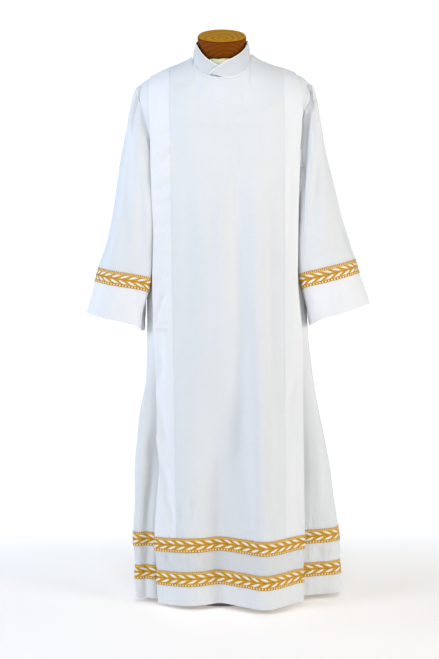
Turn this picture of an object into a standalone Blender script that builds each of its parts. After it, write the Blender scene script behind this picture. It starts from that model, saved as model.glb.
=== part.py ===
"""White front-wrap alb on a limbless dress form. Metres, +Z up, the front faces -Y, the floor is z = 0.

Every cloth piece is a grid of outer points, row by row from hem to shoulder, given a wall along its normals.
The names left and right are the viewer's, standing in front."""

import math
from collections import namedtuple

import bmesh
import bpy
import numpy as np

# ---------------------------------------------------------------- driving dimensions
WALL = 0.0015  # one layer of cloth
TURN_UP = 0.0026  # two layers, at hems and cuffs
TRIM_WALL = 0.0012
FACING_WALL = 0.0012
GAP = 0.0004  # between two pieces sewn together
LAYER_GAP = 0.0003  # between a band and the cloth that it lies on
HEM_Z = 0.012
CHEST_Z = 1.25  # above this the cloth rounds over to the shoulders
UNDERARM_Z = 1.13
RIDGE_Y = 0.0  # the shoulder seams lie in this plane
PANEL_LIFT = 0.0046  # how far the overlay lies over the layer under it at the shoulder
UNDERLAP_X = 0.105  # where the side fronts end under the overlay
PANEL_BOX = 2.15  # squareness of the overlay seen from above
PANEL_SPREAD = 1.10  # width of that curve, in widths of the body
BACK_BOX = 2.2
BACK_TOP_HALF = 0.213  # half width of the back at the shoulder tips
NECK_X = 0.0765  # the neck ends of the shoulder seams, from the middle of the neck
NECK_MIDDLE = -0.0025
GALLOON = 0.038  # width of the woven bands
LOWER_BAND_Z = 0.064
UPPER_BAND_Z = 0.155
SHOULDER_STEPS = (0.0, 24.0, 45.0, 61.0, 74.0, 83.0, 90.0)  # degrees round from chest to shoulder seam

# Half widths at the side seams and depths of the layers, from the hem up.
Section = namedtuple("Section", "z left right panel left_front right_front back left_box right_box")
SECTIONS = (
    Section(0.00, 0.212, 0.314, 0.152, 0.104, 0.096, 0.205, 2.6, 2.2),
    Section(0.10, 0.216, 0.318, 0.151, 0.104, 0.096, 0.198, 2.6, 2.2),
    Section(0.22, 0.215, 0.304, 0.149, 0.105, 0.097, 0.188, 2.6, 2.2),
    Section(0.33, 0.214, 0.294, 0.147, 0.106, 0.099, 0.178, 2.6, 2.2),
    Section(0.44, 0.212, 0.274, 0.144, 0.108, 0.101, 0.168, 2.6, 2.2),
    Section(0.54, 0.208, 0.251, 0.142, 0.110, 0.103, 0.158, 2.6, 2.3),
    Section(0.67, 0.201, 0.234, 0.139, 0.112, 0.105, 0.147, 2.6, 2.3),
    Section(0.80, 0.200, 0.224, 0.136, 0.114, 0.107, 0.136, 2.6, 2.4),
    Section(1.00, 0.204, 0.218, 0.132, 0.113, 0.110, 0.124, 2.5, 2.5),
    Section(1.13, 0.212, 0.222, 0.129, 0.114, 0.113, 0.118, 2.5, 2.5),
    Section(1.25, 0.224, 0.236, 0.127, 0.116, 0.116, 0.114, 2.5, 2.5),
)

# Height of the shoulder line; between the neck ends it runs on as the crown that the neckline is cut from.
Shoulder = namedtuple("Shoulder", "x z")
SHOULDERS = (
    Shoulder(-0.240, 1.343),
    Shoulder(-0.215, 1.373),
    Shoulder(-0.188, 1.390),
    Shoulder(-0.150, 1.409),
    Shoulder(-0.100, 1.428),
    Shoulder(-0.078, 1.438),
    Shoulder(0.000, 1.470),
    Shoulder(0.078, 1.444),
    Shoulder(0.100, 1.433),
    Shoulder(0.150, 1.414),
    Shoulder(0.188, 1.401),
    Shoulder(0.217, 1.387),
    Shoulder(0.245, 1.354),
)

# Half width between the armholes; the rows above the chest are by nominal height at the shoulder tip.
Armhole = namedtuple("Armhole", "z left right left_back right_back")
ARMHOLES = (
    Armhole(1.130, 0.212, 0.222, 0.212, 0.222),
    Armhole(1.142, 0.203, 0.214, 0.204, 0.215),
    Armhole(1.180, 0.190, 0.202, 0.194, 0.205),
    Armhole(1.215, 0.189, 0.202, 0.193, 0.205),
    Armhole(1.250, 0.193, 0.207, 0.196, 0.209),
    Armhole(1.300, 0.206, 0.218, 0.205, 0.216),
    Armhole(1.345, 0.216, 0.229, 0.215, 0.227),
    Armhole(1.375, 0.213, 0.226, 0.213, 0.226),
)

# The overlay's free edges.
Edge = namedtuple("Edge", "z left right")
PANEL_EDGES = (
    Edge(0.000, 0.170, 0.216),
    Edge(0.170, 0.177, 0.216),
    Edge(0.310, 0.172, 0.215),
    Edge(0.370, 0.168, 0.214),
    Edge(0.430, 0.172, 0.213),
    Edge(0.650, 0.175, 0.209),
    Edge(0.760, 0.177, 0.204),
    Edge(0.865, 0.178, 0.192),
    Edge(0.980, 0.173, 0.195),
    Edge(1.110, 0.180, 0.198),
    Edge(1.250, 0.187, 0.203),
    Edge(1.335, 0.190, 0.207),
    Edge(1.395, 0.189, 0.190),
)

# Neckline of the overlay and of the back, by distance from the middle.
Neckline = namedtuple("Neckline", "x front back")
NECKLINE = (
    Neckline(0.000, 1.384, 1.431),
    Neckline(0.020, 1.385, 1.431),
    Neckline(0.040, 1.390, 1.431),
    Neckline(0.056, 1.399, 1.431),
    Neckline(0.068, 1.414, 1.4325),
    Neckline(0.0765, 1.438, 1.438),
)

# Soft vertical folds. At is a fraction across the overlay, or degrees round from the middle of the front
# on the side fronts and the back. The fold grows from its top down to its full depth.
Fold = namedtuple("Fold", "at drift width depth top full", defaults=(0.0,))
PANEL_FOLDS = (
    Fold(0.235, 0.00, 0.110, 0.014, 0.85),
    Fold(0.480, -0.02, 0.085, -0.022, 0.95),
    Fold(0.760, 0.03, 0.130, 0.052, 1.00),
    Fold(1.000, 0.00, 0.070, -0.008, 0.80),
)
SKIRT_FOLDS = (
    Fold(-56.0, 0.0, 9.0, 0.045, 0.80, 0.34),
    Fold(50.0, -4.0, 8.0, -0.008, 0.80),
    Fold(74.0, -3.0, 10.0, 0.008, 0.75),
    Fold(-108.0, 0.0, 9.0, -0.016, 0.95),
    Fold(-126.0, 2.0, 10.0, 0.014, 1.00),
    Fold(-146.0, 3.0, 9.0, -0.022, 1.10),
    Fold(-166.0, 2.0, 10.0, 0.018, 1.15),
    Fold(-186.0, -1.0, 9.0, -0.020, 1.10),
    Fold(-206.0, -3.0, 11.0, 0.022, 1.12),
    Fold(-226.0, -3.0, 9.0, -0.018, 1.05),
    Fold(-244.0, 0.0, 8.0, 0.012, 0.95),
)

ROWS_BELOW_CHEST = (
    HEM_Z, 0.040, LOWER_BAND_Z, LOWER_BAND_Z + GALLOON, UPPER_BAND_Z, UPPER_BAND_Z + GALLOON,
    0.270, 0.370, 0.480, 0.600, 0.730, 0.860, 0.980, 1.070, UNDERARM_Z, 1.142, 1.170, 1.208,
)
TURN_UP_ROWS = 3  # the hem is turned up as far as the lower band

PANEL_STATIONS = (-0.190, -0.172, -0.152, -0.132, -0.112, -0.092, -NECK_X, -0.069, -0.060, -0.050, -0.036, -0.018, 0.0,
                  0.018, 0.036, 0.050, 0.060, 0.069, NECK_X, 0.092, 0.112, 0.134, 0.153, 0.172, 0.190)
FACING_COLUMNS = 3
SIDE_STATIONS = (0.50, 0.60, 0.69, 0.77, 0.84, 0.90, 0.95, 0.985, 1.0)
BACK_HALF = (1.0, 0.985, 0.945, 0.87, 0.77, 0.66, 0.55, 0.45, NECK_X / BACK_TOP_HALF, 0.325, 0.28, 0.20, 0.10)

# The sleeves' rings from the armhole down: the ends of each ring across the arm, and its reach to front and back.
Ring = namedtuple("Ring", "outer_x outer_z inner_x inner_z front back")
SLEEVE_LEFT = (
    Ring(0.2300, 1.350, 0.2190, 1.1260, 0.066, 0.064),
    Ring(0.2370, 1.324, 0.2200, 1.1220, 0.069, 0.066),
    Ring(0.2435, 1.292, 0.2190, 1.1170, 0.072, 0.066),
    Ring(0.2500, 1.258, 0.2160, 1.1110, 0.074, 0.065),
    Ring(0.2580, 1.220, 0.2100, 1.1030, 0.077, 0.062),
    Ring(0.2670, 1.175, 0.2000, 1.0880, 0.081, 0.058),
    Ring(0.2770, 1.115, 0.1880, 1.0550, 0.085, 0.053),
    Ring(0.2880, 1.045, 0.1780, 1.0030, 0.088, 0.047),
    Ring(0.3040, 0.968, 0.1720, 0.9380, 0.090, 0.042),
    Ring(0.3280, 0.890, 0.1720, 0.8580, 0.091, 0.038),
    Ring(0.3375, 0.853, 0.1750, 0.8200, 0.091, 0.036),
    Ring(0.3490, 0.812, 0.1860, 0.7710, 0.090, 0.034),
    Ring(0.3620, 0.770, 0.2000, 0.7220, 0.090, 0.032),
)
SLEEVE_RIGHT = (
    Ring(0.2420, 1.354, 0.2300, 1.1260, 0.066, 0.064),
    Ring(0.2490, 1.326, 0.2310, 1.1220, 0.069, 0.066),
    Ring(0.2540, 1.292, 0.2310, 1.1170, 0.072, 0.066),
    Ring(0.2600, 1.256, 0.2300, 1.1110, 0.074, 0.065),
    Ring(0.2680, 1.218, 0.2280, 1.1030, 0.077, 0.062),
    Ring(0.2780, 1.172, 0.2230, 1.0880, 0.080, 0.058),
    Ring(0.2930, 1.112, 0.2130, 1.0550, 0.083, 0.053),
    Ring(0.3110, 1.044, 0.2050, 1.0000, 0.086, 0.047),
    Ring(0.3320, 0.974, 0.1980, 0.9300, 0.088, 0.042),
    Ring(0.3540, 0.912, 0.1960, 0.8660, 0.089, 0.038),
    Ring(0.3650, 0.875, 0.2040, 0.8260, 0.089, 0.036),
    Ring(0.3790, 0.835, 0.2190, 0.7810, 0.088, 0.034),
    Ring(0.3930, 0.794, 0.2360, 0.7350, 0.088, 0.032),
)
BAND_RINGS = (10, 11)  # the rings that the galloon lies between, the armhole counted as 0
SLEEVE_SQUARENESS = 2.6
SLEEVE_SEAM_GAP = 0.0008
SLEEVE_CLEARANCE = 0.006  # between a sleeve and the side of the robe
# How far the front of the lower rings leads in towards the body and up.
Lead = namedtuple("Lead", "inwards up first full")
LEAD_LEFT = Lead(0.010, 0.004, 3.0, 8.0)
LEAD_RIGHT = Lead(0.016, 0.004, 3.0, 8.0)
# Folds along the sleeves: degrees round from the outer end, by way of the front, and the rings they run between.
SleeveFold = namedtuple("SleeveFold", "at drift width depth start end")
FOLDS_LEFT = (
    SleeveFold(62.0, 8.0, 13.0, -0.006, 0.5, 10.0),
    SleeveFold(95.0, 10.0, 14.0, 0.005, 2.0, 9.0),
    SleeveFold(250.0, 0.0, 16.0, -0.006, 1.0, 9.0),
)
FOLDS_RIGHT = (
    SleeveFold(52.0, 16.0, 12.0, -0.006, 0.5, 8.0),
    SleeveFold(92.0, 20.0, 14.0, 0.006, 0.5, 10.0),
    SleeveFold(255.0, 0.0, 16.0, -0.006, 1.0, 9.0),
)

# The collar as one strip, in degrees round the neck from the middle of the front towards the viewer's right.
# It stands on the neckline; lap is how far it stands off where its ends cross.
Collar = namedtuple("Collar", "angle top lap")
COLLAR = (
    Collar(-24.0, 1.3935, 0.0022),
    Collar(-14.0, 1.4050, 0.0024),
    Collar(-5.0, 1.4140, 0.0023),
    Collar(6.0, 1.4230, 0.0020),
    Collar(20.0, 1.4320, 0.0012),
    Collar(35.0, 1.4410, 0.0004),
    Collar(50.0, 1.4510, 0.0),
    Collar(63.0, 1.4610, 0.0),
    Collar(76.0, 1.4720, 0.0),
    Collar(90.0, 1.4790, 0.0),
    Collar(115.0, 1.4830, 0.0),
    Collar(145.0, 1.4860, 0.0),
    Collar(180.0, 1.4870, 0.0),
    Collar(215.0, 1.4860, 0.0),
    Collar(245.0, 1.4830, 0.0),
    Collar(270.0, 1.4780, 0.0),
    Collar(284.0, 1.4710, 0.0),
    Collar(297.0, 1.4600, 0.0),
    Collar(310.0, 1.4470, 0.0),
    Collar(323.0, 1.4350, -0.0002),
    Collar(339.0, 1.4240, -0.0006),
    Collar(355.0, 1.4140, -0.0010),
    Collar(368.0, 1.4050, -0.0012),
    Collar(378.0, 1.3935, -0.0012),
)
COLLAR_ROWS = (0.0, 0.5, 1.0)
COLLAR_TOP = (0.0662, 0.0740, 0.0705)  # half width, reach to the front and to the back
COLLAR_SEAT = 0.0010  # above the neckline in front
COLLAR_SEAT_BACK = 0.0002
COLLAR_INSET = 0.0016  # inside it
COLLAR_LEAST = 0.004  # height of the strip at its ends
COLLAR_LEAN_HEIGHT = 0.055  # the strip leans in over this height

# ---------------------------------------------------------------- the dress form
FormRing = namedtuple("FormRing", "z half front back")
FORM_RINGS = (
    FormRing(0.800, 0.060, 0.050, 0.050),
    FormRing(0.806, 0.120, 0.085, 0.085),
    FormRing(0.830, 0.150, 0.100, 0.102),
    FormRing(0.900, 0.158, 0.104, 0.108),
    FormRing(1.000, 0.148, 0.098, 0.098),
    FormRing(1.090, 0.146, 0.098, 0.092),
    FormRing(1.180, 0.164, 0.104, 0.094),
    FormRing(1.250, 0.174, 0.104, 0.094),
)
FORM_SHOULDER_HALF = 0.180
FORM_SHOULDER_DROP = 0.0005 + WALL + PANEL_LIFT
FORM_NECK_RADIUS = 0.0570
FORM_NECK_JOINT_Z = 1.4340
FORM_NECK_FOOT_Z = 1.412
FORM_SEGMENTS = 28
CAP_RADIUS = 0.0634
CAP_TILT = math.radians(18.0)
CAP_MIDDLE_Z = 1.4960
CAP_EDGE = 0.0030
POLE_RADIUS = 0.0140
POLE_TOP_Z = 0.7996
BASE_RADIUS = 0.1220
BASE_HEIGHT = 0.0180
BASE_SEGMENTS = 40

FORM_SHOULDER_HEIGHTS = (1.290, 1.325, 1.350, 1.368, 1.382, 1.394, 1.405)

CLOTH = (0.86, 0.88, 0.91)
GOLD = (0.62, 0.36, 0.06)


# ---------------------------------------------------------------- reading the tables
def read(table, column, key):
    """A column of a table at any key, along a smooth curve through its rows that never overshoots them."""
    keys = np.array([row[0] for row in table])
    values = np.array([getattr(row, column) for row in table])
    key = min(max(key, keys[0]), keys[-1])
    slopes = np.diff(values) / np.diff(keys)
    tangents = np.zeros(len(keys))
    for i in range(1, len(keys) - 1):
        if slopes[i - 1] * slopes[i] > 0:
            tangents[i] = 2.0 * slopes[i - 1] * slopes[i] / (slopes[i - 1] + slopes[i])
    tangents[0] = slopes[0]
    tangents[-1] = slopes[-1]
    i = min(int(np.searchsorted(keys, key, side="right")) - 1, len(keys) - 2)
    span = keys[i + 1] - keys[i]
    t = (key - keys[i]) / span
    return (
        (2 * t**3 - 3 * t**2 + 1) * values[i]
        + (t**3 - 2 * t**2 + t) * span * tangents[i]
        + (3 * t**2 - 2 * t**3) * values[i + 1]
        + (t**3 - t**2) * span * tangents[i + 1]
    )


def eased(t):
    """0 to 1 with level ends."""
    t = min(max(t, 0.0), 1.0)
    return t * t * (3.0 - 2.0 * t)


def fold_height(folds, at, z, wrap=None):
    """How far the folds lift the cloth at a place across it and a height."""
    lift = 0.0
    for fold in folds:
        grown = eased((fold.top - z) / (fold.top - fold.full))
        centre = fold.at + fold.drift * (z / fold.top)
        away = at - centre
        if wrap:
            away = (away + wrap / 2) % wrap - wrap / 2
        lift += fold.depth * grown * math.exp(-((away / fold.width) ** 2))
    return lift


# ---------------------------------------------------------------- the robe's surfaces
def half_width(x, z):
    return read(SECTIONS, "left" if x < 0 else "right", z)


def quarter(fraction, power):
    """The depth of a quarter of a rounded box at a fraction of its width."""
    return max(0.0, 1.0 - min(1.0, abs(fraction)) ** power) ** (1.0 / power)


def plan_point(fraction, side, z, depth, box, front):
    """A point of the side fronts or the back below the armhole: fraction is 1 at the side seam."""
    half = read(SECTIONS, side, z)
    sign = -1.0 if side == "left" else 1.0
    x = sign * half * fraction
    y = (-1.0 if front else 1.0) * depth * quarter(fraction, box)
    degrees = sign * math.degrees(math.atan2(fraction, quarter(fraction, box) * (1.0 if front else -1.0)))
    lift = fold_height(SKIRT_FOLDS, degrees, z, wrap=360.0)
    across = np.array([fraction ** (box - 1) * sign, math.copysign(quarter(fraction, box) ** (box - 1), y)])
    across /= np.linalg.norm(across)
    return np.array([x + lift * across[0], y + lift * across[1], z])


def shoulder_point(x, degrees, chest_y, drop):
    """A point on the way from the chest over to the shoulder line."""
    top = read(SHOULDERS, "z", x) - drop
    turn = math.radians(degrees)
    return np.array([x, RIDGE_Y + (chest_y - RIDGE_Y) * math.cos(turn), CHEST_Z + (top - CHEST_Z) * math.sin(turn)])


def panel_depth(x, z):
    """Distance of the overlay in front of the middle plane, folds left out."""
    return read(SECTIONS, "panel", z) * quarter(x / (half_width(x, z) * PANEL_SPREAD), PANEL_BOX)


def panel_x(station, z):
    """The overlay's columns: straight down, their spread following its free edges."""
    if station < 0:
        return -read(PANEL_EDGES, "left", z) * station / PANEL_STATIONS[0]
    return read(PANEL_EDGES, "right", z) * station / PANEL_STATIONS[-1]


def panel_point(station, z):
    x = panel_x(station, z)
    across = (station - PANEL_STATIONS[0]) / (PANEL_STATIONS[-1] - PANEL_STATIONS[0])
    y = -panel_depth(x, z) - fold_height(PANEL_FOLDS, across, z)
    return np.array([x, y, z])


def neck_turn(x, side, drop):
    """Degrees round to the neckline, for columns between the neck ends of the shoulder seams."""
    top = read(SHOULDERS, "z", x) - drop
    cut = read(NECKLINE, side, abs(x - NECK_MIDDLE)) - drop
    rise = min(1.0, (cut - CHEST_Z) / (top - CHEST_Z))
    return math.degrees(math.asin(rise))


def seam_turn(x, side, drop):
    """Degrees round to the top edge of a column: the shoulder seam, or the neckline."""
    if abs(x - NECK_MIDDLE) >= NECK_X - 1e-6:
        return 90.0
    return min(90.0, neck_turn(x, side, drop))


def front_panel_grid():
    rows = [[panel_point(s, z) for s in PANEL_STATIONS] for z in ROWS_BELOW_CHEST]
    chest = [panel_point(s, CHEST_Z) for s in PANEL_STATIONS]
    for step in SHOULDER_STEPS:
        row = []
        for station, below in zip(PANEL_STATIONS, chest):
            nominal = CHEST_Z + (PANEL_EDGES[-1].z - CHEST_Z) * math.sin(math.radians(step))
            x = panel_x(station, nominal)
            if abs(station) <= NECK_X + 1e-6:
                x = below[0] + (station + NECK_MIDDLE - below[0]) * step / 90.0
            turn = step / 90.0 * seam_turn(x, "front", 0.0)
            point = shoulder_point(x, turn, below[1], 0.0)
            point[1] -= GAP / 2 * step / 90.0
            row.append(point)
        rows.append(row)
    return np.array(rows)


def side_front_grid(side):
    sign = -1.0 if side == "left" else 1.0
    depth_column = side + "_front"
    seam = np.array([0.0, -GAP / 2, 0.0])

    def row_below(z):
        box = read(SECTIONS, side + "_box", z)
        depth = read(SECTIONS, depth_column, z)
        return [plan_point(f, side, z, depth, box, True) + seam * (f == 1.0) for f in SIDE_STATIONS]

    rows = [row_below(z) for z in ROWS_BELOW_CHEST if z <= UNDERARM_Z]
    spread = [abs(p[0]) / abs(rows[-1][-1][0]) for p in rows[-1]]
    inner = spread[0]

    def across(edge):
        """Places across a row that ends at the armhole."""
        first = UNDERLAP_X
        return [sign * (first + (edge - first) * (s - inner) / (1.0 - inner)) for s in spread]

    def chest_like(x, z):
        box = read(SECTIONS, side + "_box", z)
        return -read(SECTIONS, depth_column, z) * quarter(x / read(SECTIONS, side, z), box)

    for z in ROWS_BELOW_CHEST:
        if z > UNDERARM_Z:
            edge = read(ARMHOLES, side, z)
            rows.append([np.array([x, chest_like(x, z), z]) for x in across(edge)])
    tip = ARMHOLES[-1].z
    for step in SHOULDER_STEPS:
        nominal = CHEST_Z + (tip - CHEST_Z) * math.sin(math.radians(step))
        row = []
        for x in across(read(ARMHOLES, side, nominal)):
            point = shoulder_point(x, step, chest_like(x, CHEST_Z), PANEL_LIFT)
            point[1] -= GAP / 2 * step / 90.0
            row.append(point)
        rows.append(row)
    return np.array(rows)


def back_grid():
    """From the left side seam round the back to the right one."""
    halves = [(-1.0, f) for f in BACK_HALF] + [(1.0, 0.0)] + [(1.0, f) for f in reversed(BACK_HALF)]
    rows = []
    for z in ROWS_BELOW_CHEST:
        row = []
        for sign, f in halves:
            side = "left" if sign < 0 else "right"
            depth = read(SECTIONS, "back", z)
            if z <= UNDERARM_Z:
                point = plan_point(f, side, z, depth, BACK_BOX, False)
                if f == 1.0:
                    point[1] += GAP / 2
            else:
                half = read(SECTIONS, side, z)
                x = f * read(ARMHOLES, side + "_back", z)
                flat = plan_point(x / half, side, z, depth, BACK_BOX, False)
                point = np.array([sign * x, flat[1], z])
            row.append(point)
        rows.append(row)
    tip = ARMHOLES[-1].z
    for step in SHOULDER_STEPS:
        nominal = CHEST_Z + (tip - CHEST_Z) * math.sin(math.radians(step))
        row = []
        for sign, f in halves:
            side = "left" if sign < 0 else "right"
            x = sign * f * read(ARMHOLES, side + "_back", nominal)
            corner = abs(f - NECK_X / BACK_TOP_HALF) < 1e-6
            if f * BACK_TOP_HALF <= NECK_X + 1e-6:
                x += (sign * f * BACK_TOP_HALF + NECK_MIDDLE - x) * step / 90.0
            chest = read(SECTIONS, "back", CHEST_Z) * quarter(x / read(SECTIONS, side, CHEST_Z), BACK_BOX)
            turn = step / 90.0 * (90.0 if corner else seam_turn(x, "back", PANEL_LIFT))
            point = shoulder_point(x, turn, chest, PANEL_LIFT)
            point[1] += GAP / 2 * step / 90.0
            row.append(point)
        rows.append(row)
    return np.array(rows)


# ---------------------------------------------------------------- walls
def grid_normals(grid, closed=False):
    """Outward normals, for grids whose rows run up and whose columns run to the viewer's right on the front."""
    if closed:
        along = np.roll(grid, -1, axis=1) - np.roll(grid, 1, axis=1)
    else:
        along = np.gradient(grid, axis=1)
    up = np.gradient(grid, axis=0)
    normals = np.cross(along, up)
    length = np.linalg.norm(normals, axis=2, keepdims=True)
    return normals / np.maximum(length, 1e-12)


def flattened(normals, rows, columns, axis):
    """Normals at a seam with no part along one axis, so that the walls on both its sides end face to face."""
    picked = normals[rows, columns].copy()
    picked[..., axis] = 0.0
    picked /= np.linalg.norm(picked, axis=-1, keepdims=True)
    normals[rows, columns] = picked
    return normals


def colour(name, rgb, roughness, metallic=0.0):
    made = bpy.data.materials.new(name)
    made.use_nodes = True
    shader = made.node_tree.nodes["Principled BSDF"]
    shader.inputs["Base Color"].default_value = (*rgb, 1.0)
    shader.inputs["Roughness"].default_value = roughness
    shader.inputs["Metallic"].default_value = metallic
    return made


def body(name, points, faces, material):
    mesh = bpy.data.meshes.new(name)
    mesh.from_pydata([tuple(p) for p in points], [], faces)
    build = bmesh.new()
    build.from_mesh(mesh)
    bmesh.ops.recalc_face_normals(build, faces=build.faces)
    build.to_mesh(mesh)
    build.free()
    mesh.materials.append(material)
    made = bpy.data.objects.new(name, mesh)
    bpy.context.collection.objects.link(made)
    return made


def wall(name, outer, inner, material, closed=False):
    """A closed solid between two grids of the same size. Both sides are split along the same diagonals."""
    rows, columns = outer.shape[:2]
    points = np.concatenate([outer.reshape(-1, 3), inner.reshape(-1, 3)])
    count = rows * columns

    def at(r, c, side):
        return side * count + r * columns + c % columns

    faces = []
    spans = columns if closed else columns - 1
    for r in range(rows - 1):
        for c in range(spans):
            a, b, d, e = at(r, c, 0), at(r, c + 1, 0), at(r + 1, c, 0), at(r + 1, c + 1, 0)
            faces += [(a, b, e), (a, e, d)]
            faces += [(a + count, e + count, b + count), (a + count, d + count, e + count)]
    for c in range(spans):
        faces.append((at(0, c, 0), at(0, c, 1), at(0, c + 1, 1), at(0, c + 1, 0)))
        faces.append((at(rows - 1, c, 0), at(rows - 1, c + 1, 0), at(rows - 1, c + 1, 1), at(rows - 1, c, 1)))
    if not closed:
        for r in range(rows - 1):
            faces.append((at(r, 0, 0), at(r + 1, 0, 0), at(r + 1, 0, 1), at(r, 0, 1)))
            last = columns - 1
            faces.append((at(r, last, 0), at(r, last, 1), at(r + 1, last, 1), at(r + 1, last, 0)))
    return body(name, points, faces, material)


def thicknesses(rows, turned_up, from_top=False):
    """One layer of cloth, and two where the hem or the cuff is turned up."""
    values = np.full(rows, WALL)
    if from_top:
        values[rows - turned_up:] = TURN_UP
    else:
        values[:turned_up] = TURN_UP
    return values[:, None, None]


def lying_on(name, grid, normals, rows, columns, material, wall_thickness, under=LAYER_GAP, closed=False):
    """A band on a piece of cloth, made from the cloth's own points moved out."""
    patch = grid[rows, columns]
    lift = normals[rows, columns]
    return wall(name, patch + lift * (under + wall_thickness), patch + lift * under, material, closed)


# ---------------------------------------------------------------- the sleeves
def armhole_loop(front, back, side):
    """The armhole from the underarm up the front to the shoulder and down the back, with its surface normals
    and the directions that lead on from the cloth's edge into the sleeve."""
    first = ROWS_BELOW_CHEST.index(UNDERARM_Z)
    front_normals = seam_normals_side(front, grid_normals(front))
    back_normals = seam_normals_back(back, grid_normals(back))
    edge, next_in = (-1, -2)
    back_edge, back_in = (0, 1) if side == "left" else (-1, -2)
    if side == "left":
        edge, next_in = (0, 1)
    front_points = front[first:, edge]
    back_points = back[first:, back_edge]
    points = np.concatenate([front_points, back_points[1:-1][::-1]])
    normals = np.concatenate([front_normals[first:, edge], back_normals[first:, back_edge][1:-1][::-1]])
    inward = np.concatenate([front[first:, next_in], back[first:, back_in][1:-1][::-1]])
    points[0, 1] = 0.0
    top = len(front_points) - 1
    points[top, 1] = 0.0
    tangent = np.roll(points, -1, axis=0) - np.roll(points, 1, axis=0)
    onward = np.cross(tangent, normals)
    onward /= np.linalg.norm(onward, axis=1, keepdims=True)
    flip = np.sum(onward * (points - inward), axis=1) < 0
    onward[flip] *= -1.0
    onward[0] = (math.copysign(0.9, points[0, 0]), 0.0, 1.6)
    return points, normals, onward


def body_reach(side, y, z):
    """How far out the side of the robe stands at a depth and a height."""
    z = min(z, UNDERARM_Z)
    front = y < 0
    depth = read(SECTIONS, side + "_front" if front else "back", z)
    box = read(SECTIONS, side + "_box", z) if front else BACK_BOX
    return read(SECTIONS, side, z) * quarter(y / depth, box)


def sleeve_grid(front, back, side):
    sign = -1.0 if side == "left" else 1.0
    table = SLEEVE_LEFT if side == "left" else SLEEVE_RIGHT
    folds = FOLDS_LEFT if side == "left" else FOLDS_RIGHT
    lead = LEAD_LEFT if side == "left" else LEAD_RIGHT
    points, normals, onward = armhole_loop(front, back, side)
    count = len(points)
    rows = [points + onward * SLEEVE_SEAM_GAP]
    for number, ring in enumerate(table, start=1):
        outer = np.array([sign * ring.outer_x, 0.0, ring.outer_z])
        inner = np.array([sign * ring.inner_x, 0.0, ring.inner_z])
        middle = (outer + inner) / 2
        half = (outer - inner) / 2
        led = eased((number - lead.first) / (lead.full - lead.first))
        row = []
        for i in range(count):
            angle = math.pi - 2.0 * math.pi * i / count
            c, s = math.cos(angle), math.sin(angle)
            power = 2.0 / SLEEVE_SQUARENESS
            across = math.copysign(abs(c) ** power, c)
            reach = ring.front if s > 0 else ring.back
            y = -math.copysign(abs(s) ** power, s) * reach
            degrees = math.degrees(angle) % 360.0
            lift = 0.0
            for fold in folds:
                if fold.start < number < fold.end:
                    along = math.sin(math.pi * (number - fold.start) / (fold.end - fold.start))
                    centre = fold.at + fold.drift * (number - fold.start) / (fold.end - fold.start)
                    away = (degrees - centre + 180.0) % 360.0 - 180.0
                    lift += fold.depth * along * math.exp(-((away / fold.width) ** 2))
            point = middle + half * across + np.array([0.0, y, 0.0])
            outwards = half / np.linalg.norm(half) * c + np.array([0.0, -s, 0.0])
            point = point + outwards * lift
            forward = max(0.0, -y / ring.front) * led
            point += np.array([-sign * lead.inwards, 0.0, lead.up]) * forward
            if point[2] < UNDERARM_Z + 0.02:
                least = body_reach(side, point[1], point[2]) + SLEEVE_CLEARANCE
                over = least - sign * point[0]
                point[0] += sign * 0.5 * (over + math.sqrt(over * over + 0.004**2))
            row.append(point)
        rows.append(np.array(row))
    return np.array(rows), normals


def sleeve_normals(grid, armhole_normals):
    """Out of the tube. The first ring keeps the body's own normals, so that the two walls meet squarely."""
    normals = grid_normals(grid, closed=True)
    centres = grid.mean(axis=1, keepdims=True)
    facing = np.sum(normals * (grid - centres), axis=2)
    if np.median(facing) < 0:
        normals = -normals
    normals[0] = armhole_normals
    return normals


def make_sleeve(side, front, back, material, gold):
    grid, armhole_normals = sleeve_grid(front, back, side)
    normals = sleeve_normals(grid, armhole_normals)
    thick = thicknesses(len(grid), 3, from_top=True)
    wall("sleeve_" + side, grid, grid - normals * thick, material, closed=True)
    top, bottom = BAND_RINGS
    band = slice(top, bottom + 1)
    lying_on("trim_sleeve_" + side, grid, normals, band, slice(None), gold, TRIM_WALL, closed=True)


# ---------------------------------------------------------------- seams
def seam_normals_side(grid, normals):
    """The side fronts' normals, squared up at the side seam and at the shoulder seam."""
    below = slice(0, ROWS_BELOW_CHEST.index(UNDERARM_Z) + 1)
    outer = 0 if grid[0, 0, 0] < grid[0, -1, 0] and grid[0, 0, 0] < 0 else -1
    normals = flattened(normals, below, outer, 1)
    return flattened(normals, -1, slice(None), 1)


def seam_normals_back(grid, normals):
    below = slice(0, ROWS_BELOW_CHEST.index(UNDERARM_Z) + 1)
    normals = flattened(normals, below, 0, 1)
    normals = flattened(normals, below, -1, 1)
    shoulder = np.abs(grid[-1, :, 0] - NECK_MIDDLE) >= NECK_X - 1e-3
    for column in np.nonzero(shoulder)[0]:
        normals = flattened(normals, -1, int(column), 1)
    return normals


def seam_normals_panel(normals):
    stations = np.abs(np.array(PANEL_STATIONS))
    for column in np.nonzero(stations >= NECK_X - 1e-6)[0]:
        normals = flattened(normals, -1, int(column), 1)
    return normals


# ---------------------------------------------------------------- the collar
def collar_reach(angle, sizes):
    """Plan position on the neck's oval, measured from the middle of the front."""
    half, front, back = sizes
    turn = math.radians(angle)
    reach = front if math.cos(turn) > 0 else back
    return np.array([half * math.sin(turn), -reach * math.cos(turn)])


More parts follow.
